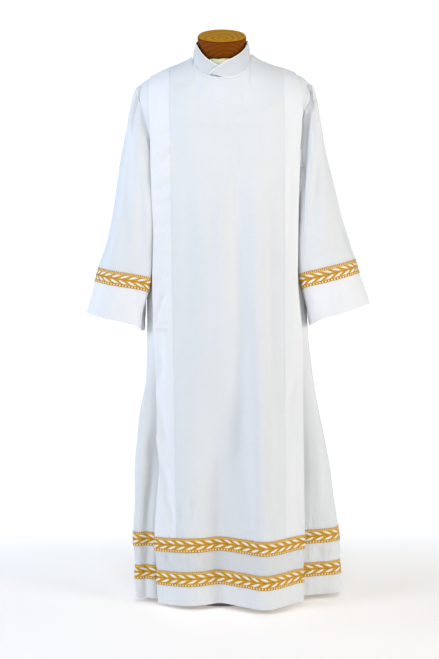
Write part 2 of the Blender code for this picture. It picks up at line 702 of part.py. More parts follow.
def neck_edge(angle):
    """A point of the neckline, on the overlay in front and on the back piece behind."""
    turn = math.radians(angle)
    x = NECK_MIDDLE + NECK_X * math.sin(turn) * 0.995
    front = math.cos(turn) > 0
    if front:
        chest = -panel_depth(x, CHEST_Z)
        return shoulder_point(x, neck_turn(x, "front", 0.0), chest, 0.0)
    side = "left" if x < 0 else "right"
    chest = read(SECTIONS, "back", CHEST_Z) * quarter(x / read(SECTIONS, side, CHEST_Z), BACK_BOX)
    return shoulder_point(x, neck_turn(x, "back", PANEL_LIFT), chest, PANEL_LIFT)


def make_collar(material):
    rows = []
    for level in COLLAR_ROWS:
        row = []
        for station in COLLAR:
            foot = neck_edge(station.angle)
            foot[2] += COLLAR_SEAT if foot[1] < 0.0 else COLLAR_SEAT_BACK
            base = foot[:2] * (1.0 - COLLAR_INSET / np.linalg.norm(foot[:2]))
            top = collar_reach(station.angle, COLLAR_TOP) + np.array([NECK_MIDDLE / 2, 0.0])
            z = foot[2] + max(station.top - foot[2], COLLAR_LEAST) * level
            lean = eased((z - foot[2]) / COLLAR_LEAN_HEIGHT)
            place = base + (top - base) * lean
            place = place * (1.0 + station.lap / np.linalg.norm(place))
            row.append(np.array([place[0], place[1], z]))
        rows.append(row)
    grid = np.array(rows)
    normals = grid_normals(grid)
    wall("collar", grid, grid - normals * WALL, material)


# ---------------------------------------------------------------- the dress form and stand
def loops_solid(name, loops, material):
    """A closed solid through rings of equal count, with flat ends."""
    count = len(loops[0])
    points = np.concatenate(loops)
    faces = []
    for r in range(len(loops) - 1):
        for c in range(count):
            a, b = r * count + c, r * count + (c + 1) % count
            faces.append((a, b, b + count, a + count))
    faces.append(tuple(reversed(range(count))))
    faces.append(tuple(range((len(loops) - 1) * count, len(loops) * count)))
    return body(name, points, faces, material)


def form_shoulder_ring(z):
    """A level ring of the shoulders, kept just inside the cloth by its own surface."""
    def end(sign):
        lowest, highest = 0.0, FORM_SHOULDER_HALF
        if read(SHOULDERS, "z", sign * highest) - FORM_SHOULDER_DROP > z:
            return highest
        for _ in range(40):
            middle = (lowest + highest) / 2
            if read(SHOULDERS, "z", sign * middle) - FORM_SHOULDER_DROP > z:
                lowest = middle
            else:
                highest = middle
        return lowest

    ends = {-1.0: end(-1.0), 1.0: end(1.0)}
    ring = []
    for i in range(FORM_SEGMENTS):
        turn = 2.0 * math.pi * i / FORM_SEGMENTS
        s, c = math.sin(turn), -math.cos(turn)
        sign = 1.0 if s >= 0 else -1.0
        fraction = abs(s) ** 0.8
        x = sign * ends[sign] * fraction
        top = read(SHOULDERS, "z", x) - FORM_SHOULDER_DROP
        over = math.sqrt(max(0.0, 1.0 - ((z - CHEST_Z) / (top - CHEST_Z)) ** 2)) if top > z else 0.0
        last = FORM_RINGS[-1]
        reach = last.front if c < 0 else last.back
        under_cloth = reach * quarter(x / (last.half * 1.12), 2.3) * over
        rising = (z - CHEST_Z) / (FORM_NECK_FOOT_Z - CHEST_Z)
        slope = (reach + (FORM_NECK_RADIUS - reach) * rising) * quarter(fraction, 1.6)
        y = math.copysign(min(under_cloth, slope) * quarter(fraction, 6.0), c)
        ring.append((x, y, z))
    return np.array(ring)


def round_ring(radius, z, tilt=0.0, segments=FORM_SEGMENTS, middle=0.0):
    """A level or tilted circle, its first point at the front."""
    ring = []
    for i in range(segments):
        turn = 2.0 * math.pi * i / segments
        x, y = radius * math.sin(turn), -radius * math.cos(turn)
        ring.append((x + middle, y, z + y * math.tan(tilt)))
    return np.array(ring)


def make_form(canvas, wood, metal):
    loops = []
    for ring in FORM_RINGS:
        points = []
        for i in range(FORM_SEGMENTS):
            turn = 2.0 * math.pi * i / FORM_SEGMENTS
            s, c = math.sin(turn), -math.cos(turn)
            x = math.copysign(abs(s) ** 0.85, s) * ring.half
            y = math.copysign(abs(c) ** 0.85, c) * (ring.front if c < 0 else ring.back)
            points.append((x, y, ring.z))
        loops.append(np.array(points))
    for z in FORM_SHOULDER_HEIGHTS:
        loops.append(form_shoulder_ring(z))
    loops.append(round_ring(FORM_NECK_RADIUS + 0.002, FORM_NECK_FOOT_Z))
    loops.append(round_ring(FORM_NECK_RADIUS, FORM_NECK_JOINT_Z))
    loops_solid("form_body", loops, canvas)

    top = CAP_MIDDLE_Z
    cap = [
        round_ring(FORM_NECK_RADIUS, FORM_NECK_JOINT_Z + GAP, middle=NECK_MIDDLE / 2),
        round_ring(CAP_RADIUS - 0.0035, 1.4500, middle=NECK_MIDDLE / 2),
        round_ring(CAP_RADIUS, top - 0.012, CAP_TILT * 0.6, middle=NECK_MIDDLE / 2),
        round_ring(CAP_RADIUS, top - CAP_EDGE, CAP_TILT, middle=NECK_MIDDLE / 2),
        round_ring(CAP_RADIUS - CAP_EDGE, top, CAP_TILT, middle=NECK_MIDDLE / 2),
    ]
    loops_solid("neck_cap", cap, wood)

    pole = [round_ring(POLE_RADIUS, BASE_HEIGHT + GAP, segments=16), round_ring(POLE_RADIUS, POLE_TOP_Z, segments=16)]
    loops_solid("stand_pole", pole, metal)
    base = [
        round_ring(BASE_RADIUS, 0.0, segments=BASE_SEGMENTS),
        round_ring(BASE_RADIUS, BASE_HEIGHT * 0.5, segments=BASE_SEGMENTS),
        round_ring(BASE_RADIUS - 0.006, BASE_HEIGHT * 0.85, segments=BASE_SEGMENTS),
        round_ring(BASE_RADIUS - 0.020, BASE_HEIGHT, segments=BASE_SEGMENTS),
    ]
    loops_solid("stand_base", base, metal)


# ---------------------------------------------------------------- the whole
def make_robe(cloth, gold):
    rows = len(ROWS_BELOW_CHEST) + len(SHOULDER_STEPS)
    thick = thicknesses(rows, TURN_UP_ROWS)
    lower = slice(ROWS_BELOW_CHEST.index(LOWER_BAND_Z), ROWS_BELOW_CHEST.index(LOWER_BAND_Z) + 2)
    upper = slice(ROWS_BELOW_CHEST.index(UPPER_BAND_Z), ROWS_BELOW_CHEST.index(UPPER_BAND_Z) + 2)
    everywhere = slice(None)

    panel = front_panel_grid()
    panel_normals = seam_normals_panel(grid_normals(panel))
    wall("front_panel", panel, panel - panel_normals * thick, cloth)
    lying_on("trim_front_lower", panel, panel_normals, lower, everywhere, gold, TRIM_WALL)
    lying_on("trim_front_upper", panel, panel_normals, upper, everywhere, gold, TRIM_WALL)
    facing_rows = slice(TURN_UP_ROWS, rows - 3)
    behind = -(WALL + LAYER_GAP + FACING_WALL)
    lying_on("facing_left", panel, panel_normals, facing_rows, slice(0, FACING_COLUMNS + 1), cloth, FACING_WALL, behind)
    lying_on("facing_right", panel, panel_normals, facing_rows, slice(-FACING_COLUMNS - 1, None), cloth,
             FACING_WALL, behind)

    back = back_grid()[:, ::-1]
    back_normals = seam_normals_back(back, grid_normals(back))
    wall("back", back, back - back_normals * thick, cloth)

    fronts = {}
    for side in ("left", "right"):
        grid = side_front_grid(side)
        if side == "left":
            grid = grid[:, ::-1]
        fronts[side] = grid
        normals = seam_normals_side(grid, grid_normals(grid))
        wall("side_front_" + side, grid, grid - normals * thick, cloth)
    for name, band in (("lower", lower), ("upper", upper)):
        ring = np.concatenate([fronts["right"][band], back[band], fronts["left"][band]], axis=1)
        seams = (fronts["right"].shape[1], fronts["right"].shape[1] + back.shape[1])
        keep = [c for c in range(ring.shape[1]) if c not in seams]
        ring = ring[:, keep]
        lying_on("trim_skirt_" + name, ring, grid_normals(ring), everywhere, everywhere, gold, TRIM_WALL)
    for side in ("left", "right"):
        make_sleeve(side, fronts[side], back[:, ::-1], cloth, gold)
    make_collar(cloth)


def main():
    for leftover in list(bpy.data.objects):
        bpy.data.objects.remove(leftover, do_unlink=True)
    cloth = colour("cloth", CLOTH, 0.75)
    gold = colour("galloon", GOLD, 0.45, 0.3)
    canvas = colour("canvas", (0.72, 0.68, 0.46), 0.85)
    wood = colour("wood", (0.42, 0.20, 0.05), 0.4)
    metal = colour("painted_metal", (0.10, 0.10, 0.11), 0.4)
    make_robe(cloth, gold)
    make_form(canvas, wood, metal)


main()
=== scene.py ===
"""A white front-wrap alb on a limbless dress form: its cloth, bands, form and studio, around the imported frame.

Every cloth piece is a thin sheet on the form of its solid. Metres, +Z up, the front faces -Y, and left and right
are those of a viewer who stands in front.
"""

from __future__ import annotations

import logging
import math
from dataclasses import dataclass, field
from enum import Enum

import bpy
import numpy as np
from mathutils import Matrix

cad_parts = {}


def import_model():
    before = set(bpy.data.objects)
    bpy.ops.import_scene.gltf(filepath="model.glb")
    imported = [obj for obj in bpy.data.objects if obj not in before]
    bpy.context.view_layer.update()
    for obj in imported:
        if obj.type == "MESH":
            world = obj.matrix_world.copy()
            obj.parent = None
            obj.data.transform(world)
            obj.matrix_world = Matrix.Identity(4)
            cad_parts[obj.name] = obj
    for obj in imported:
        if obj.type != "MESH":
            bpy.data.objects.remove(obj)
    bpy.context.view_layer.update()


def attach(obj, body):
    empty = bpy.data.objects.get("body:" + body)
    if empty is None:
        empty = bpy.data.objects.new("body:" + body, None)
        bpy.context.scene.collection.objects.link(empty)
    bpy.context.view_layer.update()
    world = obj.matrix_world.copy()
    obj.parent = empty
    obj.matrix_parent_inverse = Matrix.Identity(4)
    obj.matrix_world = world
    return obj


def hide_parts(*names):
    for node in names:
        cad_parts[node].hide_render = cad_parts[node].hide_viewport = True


LOG = logging.getLogger("alb")
BODY = "root"

CLOTH_THICKNESS = 0.0013
DOUBLED_THICKNESS = 0.0025  # hems and cuffs
RIM_WIDTH = 0.0028  # no cell of a solid's cloth is as narrow as its edge
MERGE_SOLID = 1e-5  # points this near are one, in a solid and in a sewn tube
MERGE_SEAM = 1e-6
FULL_TURN = 2.0 * math.pi
AREA_TIE = 1e-9  # areas this near are the same
NO_LENGTH = 1e-12  # what a normal of no length is divided by

# Coarse rows and columns of the solids' grids, from the hem up.
LOWER_BAND_ROWS = (2, 3)
UPPER_BAND_ROWS = (4, 5)
FACING_ROWS = (3, 21)
FACING_COLUMNS = 3
CUFF_BAND_ROWS = (2, 3)  # the sleeves are read from the cuff up


class Side(Enum):
    """The viewer's left or right."""

    LEFT = -1.0
    RIGHT = 1.0

    @property
    def word(self) -> str:
        """The side's name as the pieces carry it."""
        return self.name.lower()


class View(Enum):
    """The direction that a crease is drawn from: two axes of the drawing, and the way it faces."""

    FRONT = (0, 2, (0.0, -1.0, 0.0))
    BACK = (0, 2, (0.0, 1.0, 0.0))
    LEFT = (1, 2, (-1.0, 0.0, 0.0))
    RIGHT = (1, 2, (1.0, 0.0, 0.0))


# ---------------------------------------------------------------- sheets of points
def select_only(piece: bpy.types.Object) -> None:
    """Makes a piece the one active and selected object.

    Args:
        piece: the object to work on.
    """
    bpy.ops.object.select_all(action="DESELECT")
    bpy.context.view_layer.objects.active = piece
    piece.select_set(True)


def merge_points(threshold: float) -> None:
    """Merges the near points of the active piece, which is left in edit mode with all of it selected.

    Args:
        threshold: the distance below which two points are one.
    """
    bpy.ops.object.mode_set(mode="EDIT")
    bpy.ops.mesh.select_all(action="SELECT")
    bpy.ops.mesh.remove_doubles(threshold=threshold)


def copy_of(node: str) -> bpy.types.Object:
    """Copies a CAD node, with a mesh of its own, and merges its loose triangles.

    Args:
        node: the CAD node's name.

    Returns:
        The copy, which is left in edit mode.
    """
    source = bpy.data.objects[node]
    copy = source.copy()
    copy.data = source.data.copy()
    bpy.context.scene.collection.objects.link(copy)
    select_only(copy)
    merge_points(MERGE_SOLID)
    return copy


def points_of(node: str) -> tuple[np.ndarray, list[tuple[int, int, int]]]:
    """Reads a CAD node through a merged copy, which is then removed.

    Args:
        node: the CAD node's name.

    Returns:
        The points and the triangles.
    """
    copy = copy_of(node)
    bpy.ops.object.mode_set(mode="OBJECT")
    points = np.array([v.co[:] for v in copy.data.vertices])
    triangles = [tuple(p.vertices) for p in copy.data.polygons]
    bpy.data.objects.remove(copy, do_unlink=True)
    return points, triangles


@dataclass
class SolidSheet:
    """The outer side of a cloth solid, read as rows and columns of points.

    The solid is a wall between two such grids whose cells are split along the same diagonal, so the grid is found
    by walking from triangle to triangle, starting where the wall's narrow edge begins.
    """

    node: str
    rows: int
    columns: int
    tube: bool = False
    rises: bool = True
    points: np.ndarray = field(default_factory=lambda: np.zeros((0, 3)))
    opposite: dict[tuple[int, int], int] = field(default_factory=dict)

    def _beyond(self, a: int, b: int) -> bool:
        """Tells where the wall ends.

        Args:
            a: one end of an edge of the grid.
            b: its other end.

        Returns:
            Whether the triangle on the other side of it belongs to the wall's narrow edge.
        """
        other = self.opposite.get((b, a))
        if other is None:
            return False
        near = min(np.linalg.norm(self.points[other] - self.points[k]) for k in (a, b))
        return bool(near < RIM_WIDTH)

    def _walk(self, a: int, b: int) -> list[list[int]] | None:
        """Walks the whole grid from its first edge.

        Args:
            a: the first point of the first row.
            b: the point after it.

        Returns:
            The point numbers row by row, or None where the walk fails.
        """
        step = self.opposite.get
        grid: list[list[int]] = []
        start = (a, b)
        above: list[int] = []
        spans = self.columns if self.tube else self.columns - 1
        for _ in range(self.rows - 1):
            a, b = start
            e = step((a, b), -1)
            above = [step((a, e), -1), e]
            row = [a, b]
            for _ in range(1, spans):
                after = step((e, b), -1)
                beside = step((after, b), -1)
                if beside < 0:
                    return None
                row.append(beside)
                above.append(after)
                b, e = beside, after
            if self.tube:
                if row.pop() != row[0]:
                    return None
                above.pop()
            grid.append(row)
            start = (above[0], above[1])
        grid.append(above)
        flat = [k for row in grid for k in row]
        return grid if min(flat) >= 0 and len(set(flat)) == len(flat) else None

    def _framed(self, grid: list[list[int]]) -> bool:
        """Tells a whole grid from a part of one.

        Args:
            grid: the point numbers of a walked grid.

        Returns:
            Whether all its borders are the wall's own borders.
        """
        first, last = grid[0], grid[-1]
        ends = all(self._beyond(p, q) for p, q in zip(first, first[1:]))
        ends = ends and all(self._beyond(q, p) for p, q in zip(last, last[1:]))
        if self.tube:
            return ends
        sides = all(self._beyond(up[0], down[0]) for down, up in zip(grid, grid[1:]))
        return ends and sides and all(self._beyond(down[-1], up[-1]) for down, up in zip(grid, grid[1:]))

    def read(self) -> np.ndarray:
        """Reads the solid.

        Returns:
            The outer grid as rows x columns x 3, its first row lowest if the piece rises.
        """
        self.points, triangles = points_of(self.node)
        best: np.ndarray | None = None
        most = 0.0
        for turned in (False, True):
            self.opposite = {}
            for triangle in triangles:
                a, b, c = triangle[::-1] if turned else triangle
                self.opposite.update({(a, b): c, (b, c): a, (c, a): b})
            for a, b in list(self.opposite):
                if not self._beyond(a, b):
                    continue
                walked = self._walk(a, b)
                if walked is None or not self._framed(walked):
                    continue
                grid = self.points[np.array(walked)]
                if (grid[0, :, 2].mean() < grid[-1, :, 2].mean()) != self.rises:
                    continue
                corner = np.cross(grid[1:, 1:] - grid[:-1, :-1], grid[1:, :-1] - grid[:-1, 1:])
                area = float(np.linalg.norm(corner, axis=2).sum())
                if area > most + AREA_TIE:
                    best, most = grid[:, ::-1] if turned else grid, area
        if best is None:
            raise RuntimeError(f"{self.node} has no grid of {self.rows} by {self.columns}")
        if self.tube:
            best = np.roll(best, -int(np.argmin(best[-1, :, 2])), axis=1)
        return best


def curve_through(values: np.ndarray, keys: np.ndarray, at: np.ndarray, periodic: float = 0.0) -> np.ndarray:
    """Reads a smooth curve through points, along the first axis.

    Args:
        values: the points, one for each key.
        keys: where along the curve each of them lies.
        at: where the curve is read.
        periodic: the length after which a closed curve repeats, or 0 for an open one.

    Returns:
        The curve's points.
    """
    if periodic:
        keys = np.concatenate([keys[-2:] - periodic, keys, keys[:3] + periodic])
        values = np.concatenate([values[-2:], values, values[:3]])
    spans = np.diff(keys)
    shape = (-1,) + (1,) * (values.ndim - 1)
    slopes = np.diff(values, axis=0) / spans.reshape(shape)
    weight = (spans[:-1] / (spans[:-1] + spans[1:])).reshape(shape)
    inner = slopes[:-1] * (1.0 - weight) + slopes[1:] * weight
    tangents = np.concatenate([slopes[:1], inner, slopes[-1:]])
    index = np.clip(np.searchsorted(keys, at, side="right") - 1, 0, len(keys) - 2)
    span = spans[index].reshape(shape)
    t = ((at - keys[index]) / spans[index]).reshape(shape)
    return (
        (2 * t**3 - 3 * t**2 + 1) * values[index]
        + (t**3 - 2 * t**2 + t) * span * tangents[index]
        + (3 * t**2 - 2 * t**3) * values[index + 1]
        + (t**3 - t**2) * span * tangents[index + 1]
    )


def lengths_along(grid: np.ndarray, closed: bool = False) -> np.ndarray:
    """Measures a grid along its first axis.

    Args:
        grid: rows x columns x 3.
        closed: whether its last row is followed by the first.

    Returns:
        The mean distances between its neighbours, as running totals.
    """
    steps = np.linalg.norm(np.diff(grid, axis=0), axis=2).mean(axis=1)
    total = np.concatenate([[0.0], np.cumsum(steps)])
    if closed:
        last = float(np.linalg.norm(grid[0] - grid[-1], axis=1).mean())
        return np.append(total, total[-1] + last)
    return total


def stops_between(keys: np.ndarray, steps: list[int]) -> np.ndarray:
    """Places along a run of keys, with each span divided into its number of steps."""
    places = [np.linspace(keys[i], keys[i + 1], steps[i], endpoint=False) for i in range(len(steps))]
    return np.concatenate(places + [keys[-1:]])


@dataclass
class Sheet:
    """A fine grid of points on a piece of cloth, with the coarse rows and columns kept in it."""

    points: np.ndarray
    row_steps: list[int]
    column_steps: list[int]
    tube: bool = False

    @classmethod
    def refine(cls, grid: np.ndarray, row_steps: list[int], step: float, tube: bool = False) -> Sheet:
        """Makes the fine grid.

        Args:
            grid: the coarse grid of a solid.
            row_steps: how many fine rows each coarse row takes.
            step: the widest that a fine column is to be.
            tube: whether the columns run round.

        Returns:
            The sheet.
        """
        across = lengths_along(grid.transpose(1, 0, 2), tube)
        widest = np.linalg.norm(np.diff(grid, axis=1), axis=2).max(axis=0)
        if tube:
            widest = np.append(widest, np.linalg.norm(grid[:, 0] - grid[:, -1], axis=1).max())
        column_steps = [max(2, int(math.ceil(w / step))) for w in widest]
        keys = across[:-1] if tube else across
        places = stops_between(across, column_steps)
        if tube:
            places = places[:-1]
        wide = curve_through(grid.transpose(1, 0, 2), keys, places, across[-1] if tube else 0.0).transpose(1, 0, 2)
        up = lengths_along(wide)
        fine = curve_through(wide, up, stops_between(up, row_steps))
        return cls(fine, row_steps, column_steps, tube)

    def row(self, coarse: int) -> int:
        """The fine row where a coarse row lies."""
        return sum(self.row_steps[:coarse])

    def column(self, coarse: int) -> int:
        """The fine column where a coarse column lies, counted from the end if negative."""
        steps = self.column_steps
        return sum(steps[:coarse]) if coarse >= 0 else sum(steps[: len(steps) + 1 + coarse])

    def normals(self) -> np.ndarray:
        """Finds the way that each point faces.

        Returns:
            Outward unit vectors, for rows that rise and columns that run to the viewer's right.
        """
        if self.tube:
            along = np.roll(self.points, -1, axis=1) - np.roll(self.points, 1, axis=1)
        else:
            along = np.gradient(self.points, axis=1)
        found = np.cross(along, np.gradient(self.points, axis=0))
        return found / np.maximum(np.linalg.norm(found, axis=2, keepdims=True), NO_LENGTH)

    def closed(self) -> np.ndarray:
        """Its points, with the first column once more at the end of a tube."""
        return np.concatenate([self.points, self.points[:, :1]], axis=1) if self.tube else self.points

    def moved(self, distance: float | np.ndarray) -> Sheet:
        """The same sheet moved along its normals."""
        return Sheet(self.points + self.normals() * distance, self.row_steps, self.column_steps, self.tube)

    def cut(self, rows: slice, columns: slice = slice(None)) -> Sheet:
        """Cuts out a part of the sheet.

        Args:
            rows: its fine rows.
            columns: its fine columns, all of them if not given.

        Returns:
            The part.
        """
        part = self.points[rows, columns]
        whole = columns == slice(None)
        return Sheet(part, [part.shape[0] - 1], [part.shape[1] - 1], self.tube and whole)


# ---------------------------------------------------------------- creases
PATH_STEPS = 8  # straight pieces between two points of a crease's path
CREASE_DEPTH = 1.5  # how deep a crease is at its middle, for 1 of its stated depth
CREASE_REACH = 3.0  # widths from the path past which it moves nothing
CREASE_TURN = 2.0  # how soon a crease fades where the cloth turns away from the view that it is drawn on
LEAST = 1e-6  # what a length of 0 is divided by
RIPPLE_WAVES = 7
RIPPLE_SPREAD = (0.7, 1.6)  # a wave's length, for 1 of the mean
RIPPLE_SUM = 2.6  # about what so many waves add up to
GATHER_WAVES = 6
GATHER_SPREAD = (0.6, 1.8)
GATHER_LEAN = (-0.6, 0.6)  # how far a pucker leans aside on its way from the sewn line
GATHER_SUM = 2.4


def eased(t: np.ndarray) -> np.ndarray:
    """0 to 1 with level ends."""
    t = np.clip(t, 0.0, 1.0)
    return t * t * (3.0 - 2.0 * t)


@dataclass(frozen=True)
class Crease:
    """A soft trough or ridge along a path drawn on one view of the robe.

    The points of the path are (across, height). A negative depth is a trough. Its sides fall away over its width,
    and it fades at its two ends over a share of its length.
    """

    path: tuple[tuple[float, float], ...]
    width: float
    depth: float
    view: View
    fade_start: float
    fade_end: float

    def lift(self, points: np.ndarray, normals: np.ndarray) -> np.ndarray:
        """How far the crease moves each point along its normal.

        Args:
            points: any array of points.
            normals: their normals.

        Returns:
            Signed distances.
        """
        first, second, facing = self.view.value
        drawn = np.array(self.path)
        keys = np.concatenate([[0.0], np.cumsum(np.linalg.norm(np.diff(drawn, axis=0), axis=1))])
        line = curve_through(drawn, keys, np.linspace(0.0, keys[-1], PATH_STEPS * (len(drawn) - 1) + 1))
        flat = points.reshape(-1, 3)[:, (first, second)]
        seen = np.clip(normals.reshape(-1, 3) @ np.array(facing) * CREASE_TURN, 0.0, 1.0)
        reach = CREASE_REACH * self.width
        low, high = line.min(axis=0) - reach, line.max(axis=0) + reach
        near = np.nonzero(((flat > low) & (flat < high)).all(axis=1) & (seen > 0.0))[0]
        result = np.zeros(len(flat))
        if len(near) == 0:
            return result.reshape(points.shape[:-1])
        at = flat[near]
        nearest = np.full(len(at), np.inf)
        place = np.zeros(len(at))
        for i in range(len(line) - 1):
            span = line[i + 1] - line[i]
            offset = at - line[i]
            t = np.clip(offset @ span / (span @ span), 0.0, 1.0)
            gap = offset - t[:, None] * span
            distance = np.linalg.norm(gap, axis=1)
            closer = distance < nearest
            nearest[closer] = distance[closer]
            place[closer] = (i + t[closer]) / (len(line) - 1)
        ends = eased(place / max(self.fade_start, LEAST)) * eased((1.0 - place) / max(self.fade_end, LEAST))
        result[near] = CREASE_DEPTH * self.depth * ends * np.exp(-((nearest / self.width) ** 2)) * seen[near]
        return result.reshape(points.shape[:-1])


@dataclass(frozen=True)
class Ripple:
    """The cloth's slight unevenness: waves of one mean length, longer along the fall of the cloth."""

    length: float
    drop: float
    height: float
    seed: int

    def lift(self, points: np.ndarray) -> np.ndarray:
        """How far the ripples move each point along its normal.

        Args:
            points: any array of points.

        Returns:
            Signed distances.
        """
        random = np.random.default_rng(self.seed)
        total = np.zeros(points.shape[:-1])
        for _ in range(RIPPLE_WAVES):
            turn = random.uniform(0.0, FULL_TURN)
            wave = np.array([math.cos(turn), math.sin(turn), 0.0]) / (self.length * random.uniform(*RIPPLE_SPREAD))
            wave[2] = random.normal() / self.drop
            phase = random.uniform(0.0, FULL_TURN)
            total += np.sin(points @ wave * FULL_TURN + phase)
        return total * self.height / RIPPLE_SUM


# ---------------------------------------------------------------- shader expressions
class Shading:
    """One material and the nodes in it."""

    def __init__(self, name: str) -> None:
        """Starts a material that holds only a Principled shader."""
        self.material = bpy.data.materials.new(name)
        self.material.use_nodes = True
        self.tree = self.material.node_tree
        self.shader = self.tree.nodes["Principled BSDF"]

    def node(self, kind: str, settings: dict[str, object] | None = None, **values: object) -> bpy.types.Node:
        """Adds a node.

        Args:
            kind: the node's type, without its ShaderNode prefix.
            settings: the node's own settings, made before its sockets are filled.
            values: a value or a link for each socket, by its name with underscores for spaces.

        Returns:
            The node.
        """
        made = self.tree.nodes.new("ShaderNode" + kind)
        for key, value in (settings or {}).items():
            setattr(made, key, value)
        for key, value in values.items():
            self.fill(made.inputs[key.replace("_", " ")], value)
        return made

    def fill(self, socket: bpy.types.NodeSocket, value: object) -> None:
        """Sets a socket to a value, or links it to an expression.

        Args:
            socket: the socket to fill.
            value: a constant, a node's output or an expression.
        """
        if isinstance(value, Value):
            value = value.socket
        if isinstance(value, bpy.types.NodeSocket):
            self.tree.links.new(value, socket)
        else:
            socket.default_value = value

    def dress(self, **values: object) -> bpy.types.Material:
        """Fills sockets of the Principled shader.

        Args:
            values: a value or a link for each socket, by its name with underscores for spaces.

        Returns:
            The material.
        """
        for name, value in values.items():
            self.fill(self.shader.inputs[name.replace("_", " ")], value)
        return self.material

    def number(self, socket: bpy.types.NodeSocket) -> Value:
        """Wraps an output so that arithmetic can be written with it."""
        return Value(self, socket)

    def place(self) -> bpy.types.NodeSocket:
        """The place on the object, in metres."""
        return self.node("TexCoord").outputs["Object"]

    def axes(self) -> tuple[Value, Value, Value]:
        """The three coordinates of the place on the object."""
        split = self.node("SeparateXYZ", Vector=self.place())
        return tuple(self.number(split.outputs[k]) for k in range(3))

    def length_and_width(self) -> tuple[Value, Value]:
        """The places along and across a piece, in metres, from its own map."""
        split = self.node("SeparateXYZ", Vector=self.node("UVMap", {"uv_map": "cloth"}).outputs["UV"])
        return self.number(split.outputs[0]), self.number(split.outputs[1])

    def noise(self, scale: float | tuple[float, float, float], detail: float = 2.0, roughness: float = 0.5) -> Value:
        """Adds noise on the object.

        Args:
            scale: spots in a metre, the same all round or along each axis.
            detail: how many finer layers it has.
            roughness: how strong they are.

        Returns:
            The noise, from 0 to 1.
        """
        each = scale if isinstance(scale, tuple) else (scale,) * 3
        mapped = self.node("Mapping", Vector=self.place(), Scale=each)
        found = self.node("TexNoise", Vector=mapped.outputs[0], Scale=1.0, Detail=detail, Roughness=roughness,
                          Distortion=0.0)
        return self.number(found.outputs["Fac"])

    def mixed(self, share: object, low: object, high: object, blend: str = "MIX") -> bpy.types.NodeSocket:
        """Mixes two colours.

        Args:
            share: how much of the second shows, from 0 to 1.
            low: the first colour.
            high: the second colour.
            blend: how the second is laid over the first.

        Returns:
            The mixed colour.
        """
        made = self.node("Mix", {"data_type": "RGBA", "blend_type": blend})
        self.fill(made.inputs[0], share)
        for socket, value in ((made.inputs[6], low), (made.inputs[7], high)):
            self.fill(socket, (*value, 1.0) if isinstance(value, tuple) and len(value) == 3 else value)
        return made.outputs[2]

    def multiplied(self, colour: object, tone: Value) -> bpy.types.NodeSocket:
        """A colour made lighter or darker by a number near 1."""
        grey = self.node("CombineColor", Red=tone, Green=tone, Blue=tone).outputs[0]
        return self.mixed(1.0, colour, grey, "MULTIPLY")

    def bump(self, height: Value, distance: float, strength: float = 1.0, over: object = None) -> object:
        """Tilts the normal.

        Args:
            height: the relief, from 0 to 1.
            distance: what a height of 1 stands for, in metres.
            strength: how much of the tilt shows.
            over: the relief that this one lies on, if there is one.

        Returns:
            The tilted normal.
        """
        made = self.node("Bump", Height=height, Distance=distance, Strength=strength)
        if over is not None:
            self.fill(made.inputs["Normal"], over)
        return made.outputs[0]


class Value:
    """A number socket; arithmetic on it adds Math nodes."""

    def __init__(self, shading: Shading, socket: bpy.types.NodeSocket) -> None:
        """Wraps a socket of a shading."""
        self.shading = shading
        self.socket = socket

    def _math(self, operation: str, *others: object) -> Value:
        """Adds one Math node with this value first.

        Args:
            operation: the node's operation.
            others: its other values.

        Returns:
            The result.
        """
        return self._result(self.shading.node("Math", {"operation": operation}), (self, *others))

    def _result(self, made: bpy.types.Node, values: tuple[object, ...]) -> Value:
        """Fills the sockets of a node.

        Args:
            made: the node.
            values: its values or links, in order.

        Returns:
            Its first output.
        """
        for index, value in enumerate(values):
            self.shading.fill(made.inputs[index], value)
        return Value(self.shading, made.outputs[0])

    def __add__(self, other: object) -> Value:
        """Sum."""
        return self._math("ADD", other)

    __radd__ = __add__

    def __sub__(self, other: object) -> Value:
        """Difference."""
        return self._math("SUBTRACT", other)

    def __rsub__(self, other: object) -> Value:
        """A number less this one."""
        return self._math("MULTIPLY", -1.0) + other

    def __mul__(self, other: object) -> Value:
        """Product."""
        return self._math("MULTIPLY", other)

    __rmul__ = __mul__

    def __truediv__(self, other: object) -> Value:
        """Quotient."""
        return self._math("DIVIDE", other)

    def __abs__(self) -> Value:
        """Size without its sign."""
        return self._math("ABSOLUTE")

    def fraction(self) -> Value:
        """What is left over a whole number."""
        return self._math("FRACT")

    def sine(self) -> Value:
        """Sine, in radians."""
        return self._math("SINE")

    def power(self, exponent: float) -> Value:
        """This value to a power."""
        return self._math("POWER", exponent)

    def least(self, other: object) -> Value:
        """The smaller of two."""
        return self._math("MINIMUM", other)

    def most(self, other: object) -> Value:
        """The larger of two."""
        return self._math("MAXIMUM", other)

    def between(self, low: float, high: float) -> Value:
        """Eases from 0 to 1.

        Args:
            low: where it is 0.
            high: where it is 1, which may be the smaller of the two.

        Returns:
            0 on the one side of both, 1 on the other, smooth in between.
        """
        ends = (0.0, 1.0) if low < high else (1.0, 0.0)
        made = self.shading.node("MapRange", {"interpolation_type": "SMOOTHSTEP"})
        return self._result(made, (self, min(low, high), max(low, high), *ends))

    def band(self, centre: float, half: float, soft: float) -> Value:
        """1 within half of a centre, with soft edges."""
        return abs(self - centre).between(half + soft, half - soft)


# ---------------------------------------------------------------- finishes
TOP_EDGE = 1.4958  # the height of the neck cap's rim in the middle
CAP_TILT = math.radians(18.0)  # how far its top leans to the front
CAP_MIDDLE = -0.00125


def from_display(red: float, green: float, blue: float) -> tuple[float, float, float]:
    """A shader's colour from the three numbers, 0 to 255, that a screen shows it with."""
    shares = (red / 255.0, green / 255.0, blue / 255.0)
    return tuple(v / 12.92 if v <= 0.04045 else ((v + 0.055) / 1.055) ** 2.4 for v in shares)


